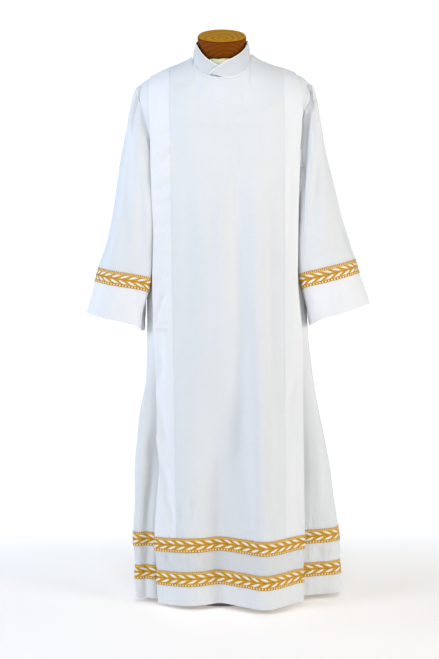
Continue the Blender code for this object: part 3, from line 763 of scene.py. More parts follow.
@dataclass(frozen=True)
class WovenCloth:
    """Plain white cloth of polyester and cotton, a little brighter where two layers lie together."""

    name: str = "alb_cloth"
    single: tuple[float, float, float] = (0.790, 0.808, 0.824)
    doubled: tuple[float, float, float] = (0.872, 0.879, 0.898)
    roughness: float = 0.85
    upright_threads: float = 0.0006  # from thread to thread
    level_threads: float = 0.0007
    slubs: tuple[tuple[float, float, float], ...] = ((700.0, 700.0, 45.0), (50.0, 50.0, 900.0))
    puckers: tuple[float, float, float] = (85.0, 85.0, 20.0)
    puckered: tuple[float, float] = (0.290, 0.215)  # the heights where puckers begin, and where they are full

    def mark(self, s: Shading, name: str) -> Value:
        """The number that the piece carries at each point under this name, 0 if it carries none."""
        return s.number(s.node("Attribute", {"attribute_name": name}).outputs["Fac"])

    def layers(self, s: Shading) -> Value:
        """1 where two layers lie together: turned-up hems, and the narrow facing round the neckline."""
        return self.mark(s, "doubled").most(self.mark(s, "neck").between(0.0150, 0.0156) * 0.9)

    def relief(self, s: Shading) -> tuple[Value, Value]:
        """Sewn lines: a height from 0 to 1, and a share of shade. Plain cloth has only the neckline's."""
        neck = self.mark(s, "neck")
        return neck.between(0.0142, 0.0154), neck.band(0.0144, 0.0007, 0.0005) * 1.3

    def material(self) -> bpy.types.Material:
        """Makes the finish: thread, slubs, sewn lines with painted shade along them, painted shade on the panel's
        strip between its bands, and the puckers above the hem's bands.

        Returns:
            The material.
        """
        s = Shading(self.name)
        colour = s.mixed(self.layers(s), self.single, self.doubled)
        upright, level = self.slubs
        slub = s.noise(upright, 3.0) * 0.5 + s.noise(level, 3.0) * 0.5
        worn = s.noise((9.0, 9.0, 5.0), 3.0)
        tone = (slub - 0.5) * 0.12 + (worn - 0.5) * 0.05 + 1.0
        height, shade = self.relief(s)
        # painted shade: darker along the sewn lines, and on the strip marked drawn between the panel's two bands
        tone = tone - shade * 0.10 - self.mark(s, "drawn") * 0.08
        x, y, z = s.axes()
        threads = (z * (FULL_TURN / self.level_threads)).sine() * ((x + y) * (FULL_TURN / self.upright_threads)).sine()
        normal = s.bump(threads * 0.5 + 0.5, 0.00008, 0.5)
        normal = s.bump(slub, 0.0003, 0.6, normal)
        normal = s.bump(height, 0.0012, 1.0, normal)
        normal = s.bump(s.noise(self.puckers, 2.0, 0.45) * z.between(*self.puckered), 0.0040, 0.7, normal)
        return s.dress(Base_Color=s.multiplied(colour, tone), Normal=normal, Roughness=self.roughness,
                       Sheen_Weight=0.1, Specular_IOR_Level=0.25)


@dataclass(frozen=True)
class PanelCloth(WovenCloth):
    """The overlay's cloth, with the sewn lines of its two facings and the patch where the left one is closed."""

    name: str = "alb_cloth_panel"
    left_line: tuple[float, float] = (-0.1172, -0.0142)  # x at the floor, and its change with height
    right_line: tuple[float, float] = (0.1664, -0.0064)
    patch: tuple[float, float, float, float] = (-0.1735, -0.1400, 0.731, 0.753)  # left, right, low and high
    above_bands: tuple[float, float] = (0.150, 0.200)  # the heights between which the facings come in
    stitch: float = 0.0026  # from stitch to stitch
    tooth: float = 0.0045  # from tooth to tooth of the patch's zigzag

    def lines(self, s: Shading) -> tuple[Value, Value]:
        """Finds the two facing lines.

        Args:
            s: the material that is being made.

        Returns:
            How far a place lies outside each of them, in metres.
        """
        x, _, z = s.axes()
        (a, da), (b, db) = self.left_line, self.right_line
        return (z * da + a) - x, x - (z * db + b)

    def layers(self, s: Shading) -> Value:
        """Finds the facings and the turned-up hem.

        Args:
            s: the material that is being made.

        Returns:
            1 on them and 0 beside them.
        """
        left, right = self.lines(s)
        both = left.between(-0.0006, 0.0006) + right.between(-0.0006, 0.0006) * 0.6
        return (both * s.axes()[2].between(*self.above_bands)).most(super().layers(s))

    def relief(self, s: Shading) -> tuple[Value, Value]:
        """Raises the edges at both facing lines, and sinks their stitches and the patch's zigzag.

        Args:
            s: the material that is being made.

        Returns:
            A height from 0 to 1, and a share of shade.
        """
        left, right = self.lines(s)
        x, _, z = s.axes()
        step = left.between(-0.0010, 0.0008) + right.between(-0.0010, 0.0008)
        seam = left.band(0.0, 0.0006, 0.0006) + right.band(0.0, 0.0006, 0.0006)
        stitches = (z / self.stitch).fraction().band(0.5, 0.3, 0.1)
        rows = (left.band(0.0022, 0.0003, 0.0003) + right.band(0.0022, 0.0003, 0.0003)) * stitches
        west, east, low, high = self.patch
        zigzag = abs((x / self.tooth).fraction() - 0.5) * (2.0 * self.tooth) + (low + 0.0035)
        inside = x.between(west, west + 0.001) * x.between(east, east - 0.001)
        line = abs(z - zigzag).between(0.0013, 0.0005) + abs(z - low).between(0.0012, 0.0004) * 0.8
        line = (line + abs(z - high).between(0.0012, 0.0004) * 0.5) * inside
        above = z.between(*self.above_bands)
        raised, shade = super().relief(s)
        return (step * above * 0.5 - rows * above * 0.3 - line * 0.45 + raised * 0.6 + 0.5,
                ((seam * 0.55 + rows * 0.5) * above + line * 0.9).least(1.0).most(shade))


@dataclass(frozen=True)
class WovenBand:
    """Gold galloon with white leaves in chevrons between two borders, charted in millimetres from its own map."""

    name: str
    turned: bool = False
    repeat: float = 26.8  # from leaf to leaf
    slant: float = 23.0  # how far a leaf runs along the band on its way out
    middle: float = 19.5
    half: float = 12.0  # from the middle to where the leaves end
    bead: float = 8.0  # from bead to bead of the lower border
    dot: float = 5.4  # and from dot to dot of the upper one
    rib: float = 0.9
    ground: tuple[float, float, float] = from_display(230, 178, 44)
    shaded: tuple[float, float, float] = from_display(178, 116, 12)
    leaf: tuple[float, float, float] = from_display(244, 246, 248)
    # pale: the upper border's thread, and the painted highlight on the leaves' rims
    pale: tuple[float, float, float] = from_display(252, 226, 120)
    bead_colour: tuple[float, float, float] = from_display(255, 244, 196)
    between_dots: tuple[float, float, float] = from_display(250, 226, 170)
    edge: tuple[float, float, float] = from_display(164, 84, 32)

    def leaves(self, s: Shading, along: Value, out: Value, upper: Value) -> tuple[Value, Value, Value]:
        """Charts the two rows of leaves.

        Args:
            s: the material that is being made.
            along: the place along the band.
            out: the share of the way out from its middle.
            upper: 1 on the upper row, 0 on the lower.

        Returns:
            The leaves, the painted highlight along one rim of each, and the dark veins between them, each from 0 to 1.
        """
        wobble = (s.noise(160.0, 2.0) - 0.5) * 2.4
        phase = ((along + wobble + out * self.slant + (1.0 - upper) * -3.0) / self.repeat).fraction()
        off = abs(phase - 0.5) * self.repeat
        frayed = (s.noise(420.0, 2.0) - 0.5) * 2.6
        body = out.between(-0.06, 0.62) * 7.1 - off + frayed
        leaf = body.between(-0.2, 1.4) * out.between(0.16, 0.30) * out.between(0.98, 0.84)
        # painted highlight along one rim of each leaf
        rim = leaf * body.between(2.6, 0.8) * (phase - 0.5).between(-0.02, 0.02)
        return leaf, rim, (phase - 0.5).band(-0.46, 0.05, 0.07) + (phase - 0.5).band(0.46, 0.05, 0.07)

    def material(self) -> bpy.types.Material:
        """Makes the finish, from the gold ground outwards to the borders.

        Returns:
            The material.
        """
        s = Shading(self.name)
        length, width = s.length_and_width()
        along = length * (-1000.0 if self.turned else 1000.0)
        across = width * 1000.0
        upper = across.between(self.middle - 0.1, self.middle + 0.1)
        out = abs(across - self.middle) / self.half
        leaf, rim, vein = self.leaves(s, along, out, upper)
        weft = s.noise((900.0, 900.0, 260.0), 3.0)
        colour = s.mixed(weft.between(0.15, 0.65), self.shaded, self.ground)
        colour = s.mixed(((vein + out.between(0.14, 0.0)) * 0.75).least(1.0), colour, self.shaded)
        within = across.between(7.0, 7.4) * across.between(32.0, 31.6)
        colour = s.mixed(leaf * within, colour, self.leaf)
        # painted highlight on the leaves' rims
        colour = s.mixed(rim * within * 0.6, colour, self.pale)
        beads = (along / self.bead).fraction().band(0.5, 0.22, 0.12)
        low = across.band(3.4, 1.7, 0.7)
        colour = s.mixed(low * (1.0 - beads) * 0.8, colour, self.shaded)
        colour = s.mixed(low * beads, colour, self.bead_colour)
        thread = across.band(33.4, 0.7, 0.5)
        colour = s.mixed(thread * (0.35 + beads * 0.5), colour, self.pale)
        top = across.between(34.6, 35.2)
        dots = (along / self.dot).fraction().band(0.5, 0.22, 0.12)
        colour = s.mixed(top * (1.0 - dots) * 0.8, colour, self.between_dots)
        colour = s.mixed(top * dots, colour, self.edge)
        colour = s.mixed(across.between(1.0, 0.2) * 0.7, colour, self.edge)
        ribs = (along * (FULL_TURN / self.rib)).sine() * 0.5 + 0.5
        height = leaf * within * 0.6 + low * beads * 0.6 + ribs * 0.2
        return s.dress(Base_Color=colour, Normal=s.bump(height, 0.0006, 0.9), Roughness=0.5 + leaf * 0.2,
                       Specular_IOR_Level=0.3)


@dataclass(frozen=True)
class CollarCloth(WovenCloth):
    """The collar's stiffened cloth, with a rolled and stitched edge along its top and its ends: bumped as relief, with
    a painted highlight on the edge and painted shade in the line of stitches beside it.
    """

    name: str = "alb_cloth_collar"
    single: tuple[float, float, float] = (0.715, 0.730, 0.750)
    # near white: the painted highlight along the rolled edge
    doubled: tuple[float, float, float] = (0.990, 0.990, 1.000)

    def layers(self, s: Shading) -> Value:
        """1 on the rolled edge, which takes the near-white colour as a painted highlight."""
        return self.mark(s, "edge").between(0.0044, 0.0032)

    def relief(self, s: Shading) -> tuple[Value, Value]:
        """The rounded edge, and the line of stitches beside it, darkened as painted shade beside the edge."""
        away = self.mark(s, "edge")
        return away.between(0.0044, 0.0020), away.band(0.0052, 0.0005, 0.0009) * 0.8


@dataclass(frozen=True)
class TurnedWood:
    """Oiled pine with broad growth rings; its sides are painted darker than its top as painted shade, and darker still
    at its foot.
    """

    name: str = "neck_wood"
    ring_width: float = 0.0160
    top: tuple[float, float, float] = from_display(206, 146, 26)
    # painted shade: the side's colours are darker copies of the top's
    side: tuple[float, float, float] = from_display(132, 66, 0)
    ring: tuple[float, float, float] = from_display(118, 62, 4)
    deep_ring: tuple[float, float, float] = from_display(76, 34, 0)
    groove: tuple[float, float, float] = from_display(60, 24, 0)
    # painted shade at the foot, where the cap goes down into the collar
    foot: tuple[float, float, float] = from_display(84, 36, 2)
    top_heart: float = -0.024  # the y of the rings' middle on the top
    side_heart: tuple[float, float] = (0.008, 1.425)  # the x and z of it on the side

    def material(self) -> bpy.types.Material:
        """Makes the finish. The side's rings lie round a line that runs from front to back.

        Returns:
            The material.
        """
        s = Shading(self.name)
        x, y, z = s.axes()
        bend = (s.noise(15.0, 2.0) - 0.5) * 0.034
        plane = z - (y * math.tan(CAP_TILT) + TOP_EDGE)
        upward = plane.between(-0.0028, -0.0012)
        back, low = y - self.top_heart, z - self.side_heart[1]
        beside = x - self.side_heart[0]
        flat = (x * x + back * back).power(0.5)
        upright = (beside * beside + low * low * 2.6).power(0.5)
        away = flat * upward + upright * (1.0 - upward) + bend
        rings = (away / self.ring_width).fraction()
        late = rings.between(0.30, 0.85) * rings.between(1.0, 0.88)
        fibre = s.noise((500.0, 26.0, 500.0), 3.0)
        # painted shade: the side takes darker copies of the top's colours and rings
        colour = s.mixed(upward, self.side, self.top)
        colour = s.mixed(late * 0.4, colour, s.mixed(upward, self.deep_ring, self.ring))
        colour = s.mixed(fibre.between(0.45, 0.75) * 0.25, colour, self.ring)
        colour = s.mixed(plane.band(-0.0034, 0.0005, 0.0006) * 0.9, colour, self.groove)
        # painted shade, darker towards the foot
        colour = s.mixed(z.between(1.4400, 1.4350) * 0.6, colour, self.foot)
        return s.dress(Base_Color=colour, Normal=s.bump(fibre * 0.5 + late * 0.5, 0.0002, 0.6),
                       Roughness=0.55 + late * 0.10, Specular_IOR_Level=0.08)


@dataclass(frozen=True)
class PlainFinish:
    """A finish of one colour, varied a little."""

    name: str
    colour: tuple[float, float, float]
    roughness: float
    grain: float = 0.05
    glow: tuple[tuple[float, float, float], float] | None = None  # its own light in front, and far behind
    glow_from: tuple[float, float] = (-0.3, 1.5)  # where the one gives way to the other, along y

    def material(self) -> bpy.types.Material:
        """Makes the finish.

        Returns:
            The material.
        """
        s = Shading(self.name)
        tone = (s.noise(60.0, 4.0) - 0.5) * self.grain + 1.0
        s.dress(Base_Color=s.multiplied(self.colour, tone), Roughness=self.roughness)
        if self.glow:
            near, far = self.glow
            share = s.axes()[1].between(*self.glow_from)
            s.dress(Emission_Color=s.mixed(share, near, (far,) * 3), Emission_Strength=1.0)
        return s.material


# ---------------------------------------------------------------- making a sheet a piece
CUT_EASE = 0.004  # what a cut takes more than its sheet, for the turned edges
SMOOTH_ANGLE = math.radians(50.0)


def tie(piece: bpy.types.Object, node: str) -> None:
    """Ties a finished piece to the frame.

    Args:
        piece: the piece.
        node: the CAD node that it stands for.
    """
    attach(piece, BODY)
    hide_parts(node)
    LOG.info("%s: %d faces", piece.name, len(piece.data.polygons))


def cut_size(sheet: Sheet) -> tuple[tuple[float, float], float]:
    """Works out what a sheet is cut from.

    Args:
        sheet: the sheet, as it is worn.

    Returns:
        The width and length of its rectangle, and the area of its face.
    """
    points = sheet.closed()
    across = np.linalg.norm(np.diff(points, axis=1), axis=2).sum(axis=1).max()
    up = np.linalg.norm(np.diff(points, axis=0), axis=2).sum(axis=0).max()
    crossed = np.cross(points[1:, 1:] - points[:-1, :-1], points[1:, :-1] - points[:-1, 1:])
    area = float(np.linalg.norm(crossed, axis=2).sum() / 2.0)
    return (round(float(across) + CUT_EASE, 3), round(float(up) + CUT_EASE, 3)), round(area, 4)


@dataclass(frozen=True)
class Place:
    """Where a piece belongs in the frame."""

    node: str  # the CAD node that it stands for
    rests_on: tuple[str, ...]
    slot: str = "cloth"
    held: str = "hung"


@dataclass
class Tailor:
    """Makes pieces of cloth from sheets of points, and ties them to the frame."""

    def laid_out(self, name: str, points: np.ndarray) -> bpy.types.Object:
        """Lays a grid over a sheet's points.

        Args:
            name: the piece's name.
            points: rows x columns x 3.

        Returns:
            The piece, with a map named cloth in metres along the columns and the rows.
        """
        rows, columns = points.shape[:2]
        bpy.ops.object.select_all(action="DESELECT")
        bpy.ops.mesh.primitive_grid_add(x_subdivisions=columns - 1, y_subdivisions=rows - 1, size=1.0)
        piece = bpy.context.object
        piece.name = piece.data.name = name
        mesh = piece.data
        mesh.vertices.foreach_set("co", points.reshape(-1))
        across = np.broadcast_to(lengths_along(points.transpose(1, 0, 2))[None, :], (rows, columns))
        up = np.broadcast_to(lengths_along(points)[:, None], (rows, columns))
        corners = np.zeros(len(mesh.loops), int)
        mesh.loops.foreach_get("vertex_index", corners)
        places = np.stack([across, up], axis=2).reshape(-1, 2)[corners]
        mesh.uv_layers[0].name = "cloth"
        mesh.uv_layers["cloth"].uv.foreach_set("vector", places.reshape(-1))
        return piece

    def thicken(self, piece: bpy.types.Object, layers: np.ndarray, thickness: float, most: float) -> None:
        """Gives a piece its wall, inwards from its outer side.

        Args:
            piece: the piece, which is the active one.
            layers: for each point, 1 where two layers lie together.
            thickness: the thickness of one layer.
            most: the thickness of two.
        """
        group = piece.vertex_groups.new(name="thick")
        shares = ((thickness + (most - thickness) * layers.reshape(-1)) / most).round(3)
        for share in np.unique(shares):
            group.add(np.nonzero(shares == share)[0].tolist(), float(share), "REPLACE")
        wall = piece.modifiers.new("wall", "SOLIDIFY")
        wall.thickness = most
        wall.offset = -1.0
        wall.use_rim = True
        wall.vertex_group = group.name
        wall.thickness_vertex_group = 0.0

    def sew(self, name: str, sheet: Sheet, material: bpy.types.Material, doubled: np.ndarray | None = None,
            thickness: float = CLOTH_THICKNESS, most: float | None = None,
            bright: np.ndarray | None = None, marks: dict[str, np.ndarray] | None = None) -> bpy.types.Object:
        """Makes one piece.

        Args:
            name: the piece's name.
            sheet: its outer side.
            material: its finish.
            doubled: for each point, 1 where two layers lie together, in rows and columns.
            thickness: the thickness of one layer.
            most: the thickness where doubled is 1, if it differs.
            bright: for each point, 1 where the finish is that of two layers, if that isn't where doubled is 1.
            marks: more numbers for each point, by the name that the finish reads them with.

        Returns:
            The piece.
        """
        points = sheet.closed()
        piece = self.laid_out(name, points)
        layers = np.zeros(points.shape[:2]) if doubled is None else doubled
        if sheet.tube and doubled is not None:
            layers = np.concatenate([doubled, doubled[:, :1]], axis=1)
        for mark, values in {"doubled": layers if bright is None else bright, **(marks or {})}.items():
            attribute = piece.data.attributes.new(mark, "FLOAT", "POINT")
            attribute.data.foreach_set("value", values.reshape(-1).astype(np.float32))
        self.thicken(piece, layers, thickness, most or thickness)
        piece.data.materials.append(material)
        select_only(piece)
        if sheet.tube:
            merge_points(MERGE_SEAM)
            bpy.ops.object.mode_set(mode="OBJECT")
        bpy.ops.object.modifier_apply(modifier="wall")
        bpy.ops.object.shade_smooth_by_angle(angle=SMOOTH_ANGLE)
        return piece

    def fit(self, name: str, place: Place, sheet: Sheet, material: bpy.types.Material, cut: Sheet | None = None,
            **sewing: object) -> None:
        """Sews one piece, ties it to the frame and measures its cut.

        Args:
            name: the piece's name.
            place: where it belongs in the frame.
            sheet: its outer side.
            material: its finish.
            cut: the sheet that its cut is measured on, if that isn't its outer side.
            sewing: what else sew takes.
        """
        piece = self.sew(name, sheet, material, **sewing)
        flat, area = cut_size(cut or sheet)
        tie(piece, place.node)


def put_together(sheets: list[Sheet]) -> Sheet:
    """Joins sheets side by side into one strip.

    Args:
        sheets: the sheets in order, the last column of each on the first of the next.

    Returns:
        The strip, each shared column in it once.
    """
    parts = [sheet.points[:, (1 if i else 0):] for i, sheet in enumerate(sheets)]
    points = np.concatenate(parts, axis=1)
    return Sheet(points, [points.shape[0] - 1], [points.shape[1] - 1])


@dataclass(frozen=True)
class Gathers:
    """Small puckers that run away from a sewn line, along a coarse row of a piece."""

    row: int
    height: float
    reach_up: float
    reach_down: float
    length: float = 0.016
    seed: int = 1
    swell_length: float = 0.11  # from where they are strongest to where they are so again
    swell_share: float = 0.4  # and how much of their height comes and goes with that

    def lift(self, sheet: Sheet) -> np.ndarray:
        """How far the gathers move each point along its normal.

        Args:
            sheet: the sheet that they are on.

        Returns:
            Signed distances.
        """
        random = np.random.default_rng(self.seed)
        across = lengths_along(sheet.points.transpose(1, 0, 2))
        up = lengths_along(sheet.points)
        away = up - up[sheet.row(self.row)]
        fall = np.exp(-np.where(away > 0.0, away / self.reach_up, -away / max(self.reach_down, LEAST)))
        total = np.zeros(sheet.points.shape[:2])
        for _ in range(GATHER_WAVES):
            length = self.length * random.uniform(*GATHER_SPREAD)
            lean = random.uniform(*GATHER_LEAN)
            phase = random.uniform(0.0, FULL_TURN)
            total += np.sin((across[None, :] + away[:, None] * lean) * FULL_TURN / length + phase)
        waves = np.sin(across * FULL_TURN / self.swell_length + self.seed)
        swell = 1.0 - self.swell_share + self.swell_share * waves
        return total * fall[:, None] * swell[None, :] * self.height / GATHER_SUM


@dataclass
class Folds:
    """The creases and ripples of one group of pieces."""

    creases: tuple[Crease, ...] = ()
    ripples: tuple[Ripple, ...] = ()
    gathers: tuple[Gathers, ...] = ()
    swells: tuple[tuple[int, float], ...] = ()  # a coarse row, and how far the cloth stands out along it

    def press(self, sheet: Sheet) -> Sheet:
        """Moves a sheet's points by its creases and ripples.

        Args:
            sheet: the smooth sheet.

        Returns:
            The creased one.
        """
        normals = sheet.normals()
        lift = np.zeros(sheet.points.shape[:2])
        for crease in self.creases:
            lift += crease.lift(sheet.points, normals)
        for ripple in self.ripples:
            lift += ripple.lift(sheet.points)
        for gathers in self.gathers:
            lift += gathers.lift(sheet)
        if self.swells:
            rows, heights = zip(*self.swells)
            fine = np.arange(len(lift))
            lift += np.interp(fine, [sheet.row(row) for row in rows], heights)[:, None]
        return sheet.moved(lift[..., None])


# ---------------------------------------------------------------- the robe's pieces
BODY_ROWS = 25
BODY_ROW_STEPS = [5, 5, 6, 9, 7, 12, 15, 17, 18, 19, 19, 18, 14, 9, 2, 5, 7, 8, 7, 6, 5, 5, 4, 4]
DOUBLED_ROWS = 2
HEM_SHARE = 0.2  # how much of two layers' brightness the turned-up hem has
BAND_LIFT = 0.0015  # a band's face above the cloth under it
BAND_THICKNESS = 0.0012
FACING_DEPTH = 0.0018  # a facing's face behind the panel's
NECK_MIDDLE = -0.0012  # the neckline's middle, and half its width
NECK_HALF = 0.0775
NECK_REACH = 0.020  # how far down the neckline's sewing is marked
MOST_AT_ONCE = 512  # points compared with a whole sheet in one go
RIPPLES = (Ripple(0.10, 0.45, 0.0009, 3), Ripple(0.035, 0.16, 0.00035, 5))


def band_of(sheet: Sheet, rows: tuple[int, int], columns: slice = slice(None)) -> Sheet:
    """Reads where a band lies.

    Args:
        sheet: the cloth that it is sewn on.
        rows: the two coarse rows that it lies between.
        columns: the fine columns that it crosses.

    Returns:
        The strip of the sheet, raised by the band's thickness.
    """
    raised = sheet.moved(BAND_LIFT)
    return raised.cut(slice(sheet.row(rows[0]), sheet.row(rows[1]) + 1), columns)


@dataclass
class RobePiece:
    """What all the cut pieces have in common: a solid to lie on, read into a sheet with its folds pressed in."""

    node: str
    cloth: bpy.types.Material
    folds: Folds
    rows: int
    columns: int
    step: float
    row_steps: list[int]
    tube: bool = False

    def __post_init__(self) -> None:
        """Reads the solid and presses the folds in."""
        grid = self.led(SolidSheet(self.node, self.rows, self.columns, self.tube).read())
        sheet = Sheet.refine(grid, self.row_steps, self.step, self.tube)
        self.sheet = self.cleared(self.folds.press(sheet))

    def led(self, grid: np.ndarray) -> np.ndarray:
        """Moves the coarse points where the cloth hangs otherwise than its solid."""
        return grid

    def cleared(self, sheet: Sheet) -> Sheet:
        """Keeps the fine points clear of what lies under them."""
        return sheet

    def doubled(self) -> np.ndarray:
        """1 on the turned-up rows at the bottom, 0 above them."""
        result = np.zeros(self.sheet.points.shape[:2])
        result[: self.sheet.row(DOUBLED_ROWS) + 1] = 1.0
        return result

    def sew_body(self, tailor: Tailor, name: str, rests_on: tuple[str, ...], **marks: np.ndarray) -> None:
        """Sews the piece itself, whose turned-up hem shows less bright than two layers do.

        Args:
            tailor: who sews it.
            name: the piece's name.
            rests_on: what it lies on.
            marks: more numbers for each point, by the name that the finish reads them with.
        """
        doubled = self.doubled()
        tailor.fit(name, Place(self.node, rests_on), self.sheet, self.cloth, doubled=doubled,
                   most=DOUBLED_THICKNESS, bright=doubled * HEM_SHARE, marks=marks)


def below_neckline(sheet: Sheet) -> np.ndarray:
    """Marks the strip of a sheet under the neckline.

    Args:
        sheet: the panel's or the back's sheet.

    Returns:
        For each point, NECK_REACH less its distance down from the neckline, and 0 farther down and beside it.
    """
    down = np.zeros(sheet.points.shape[:2])
    steps = np.linalg.norm(np.diff(sheet.points, axis=0), axis=2)
    down[:-1] = np.cumsum(steps[::-1], axis=0)[::-1]
    beside = np.abs(sheet.points[-1, :, 0] - NECK_MIDDLE) < NECK_HALF
    return np.where(beside[None, :], np.maximum(NECK_REACH - down, 0.0), 0.0)


@dataclass
class FrontPanel(RobePiece):
    """The overlay in front, with its facings and its two bands."""

    galloon: bpy.types.Material | None = None
    lining: bpy.types.Material | None = None
    left_shift: tuple[tuple[float, float], ...] = ()  # height, and how far that edge stands out
    right_shift: tuple[tuple[float, float], ...] = ()
    shifted: int = 5  # how many columns share in an edge's shift
    drop: float = 0.007  # how much lower the hem hangs at its left end
    dropped: int = 6  # how many columns share in that
    drop_rows: tuple[float, ...] = (0, 5, 8)
    drop_shares: tuple[float, ...] = (1.0, 1.0, 0.0)

    def led(self, grid: np.ndarray) -> np.ndarray:
        """Lets the two side edges stand out a little at mid height, and the hem hang lower at its left end.

        Args:
            grid: the solid's coarse points, which are moved.

        Returns:
            The same grid.
        """
        for shifts, first, sign in ((self.left_shift, 0, -1.0), (self.right_shift, -1, 1.0)):
            heights, amounts = np.array(shifts).T
            for place in range(self.shifted):
                column = first - place * int(sign)
                share = float(eased(np.array(1.0 - place / self.shifted)))
                grid[:, column, 0] += sign * share * np.interp(grid[:, column, 2], heights, amounts)
        for column in range(self.dropped):
            share = float(eased(np.array(1.0 - column / self.dropped)))
            grid[:, column, 2] -= self.drop * share * np.interp(np.arange(len(grid)), self.drop_rows, self.drop_shares)
        return grid

    def build(self, tailor: Tailor) -> None:
        """Sews the panel, the facings behind its edges and the bands on it.

        Args:
            tailor: who sews them.
        """
        sheet = self.sheet
        # the strip between the two bands, which the finish darkens as painted shade
        drawn = np.zeros(sheet.points.shape[:2])
        drawn[sheet.row(LOWER_BAND_ROWS[1]):sheet.row(UPPER_BAND_ROWS[0]) + 1] = 1.0
        self.sew_body(tailor, "panel_cloth", ("form_body", "side_front_left"), neck=below_neckline(sheet), drawn=drawn)
        behind = sheet.moved(-FACING_DEPTH)
        rows = slice(sheet.row(FACING_ROWS[0]), sheet.row(FACING_ROWS[1]) + 1)
        for word, columns in (("left", slice(0, sheet.column(FACING_COLUMNS) + 1)),
                              ("right", slice(sheet.column(-1 - FACING_COLUMNS), None))):
            tailor.fit(f"facing_cloth_{word}", Place(f"facing_{word}", ("panel_cloth",)), behind.cut(rows, columns),
                       self.lining, thickness=BAND_THICKNESS)
        for word, band_rows in (("lower", LOWER_BAND_ROWS), ("upper", UPPER_BAND_ROWS)):
            tailor.fit(f"galloon_front_{word}", Place(f"trim_front_{word}", ("panel_cloth",), "galloon"),
                       band_of(sheet, band_rows), self.galloon, thickness=BAND_THICKNESS)


@dataclass
class SideFront(RobePiece):
    """The front of the robe beside and under the overlay, on one side."""

    side: Side = Side.LEFT

    def build(self, tailor: Tailor) -> None:
        """Sews the piece."""
        self.sew_body(tailor, f"side_cloth_{self.side.word}", ("form_body", "back_cloth"))


@dataclass
class BackPiece(RobePiece):
    """The whole back of the robe."""

    def build(self, tailor: Tailor) -> None:
        """Sews the piece."""
        self.sew_body(tailor, "back_cloth", ("form_body",), neck=below_neckline(self.sheet))


@dataclass
class SkirtBands:
    """The two bands that run round the hem from under one edge of the overlay to under the other."""

    pieces: list[RobePiece]
    galloon: bpy.types.Material

    def build(self, tailor: Tailor) -> None:
        """Sews both bands across the seams of the pieces that they lie on.

        Args:
            tailor: who sews them.
        """
        for word, rows in (("lower", LOWER_BAND_ROWS), ("upper", UPPER_BAND_ROWS)):
            strip = put_together([band_of(piece.sheet, rows) for piece in self.pieces])
            tailor.fit(f"galloon_skirt_{word}", Place(f"trim_skirt_{word}", ("back_cloth",), "galloon"), strip,
                       self.galloon, thickness=BAND_THICKNESS)


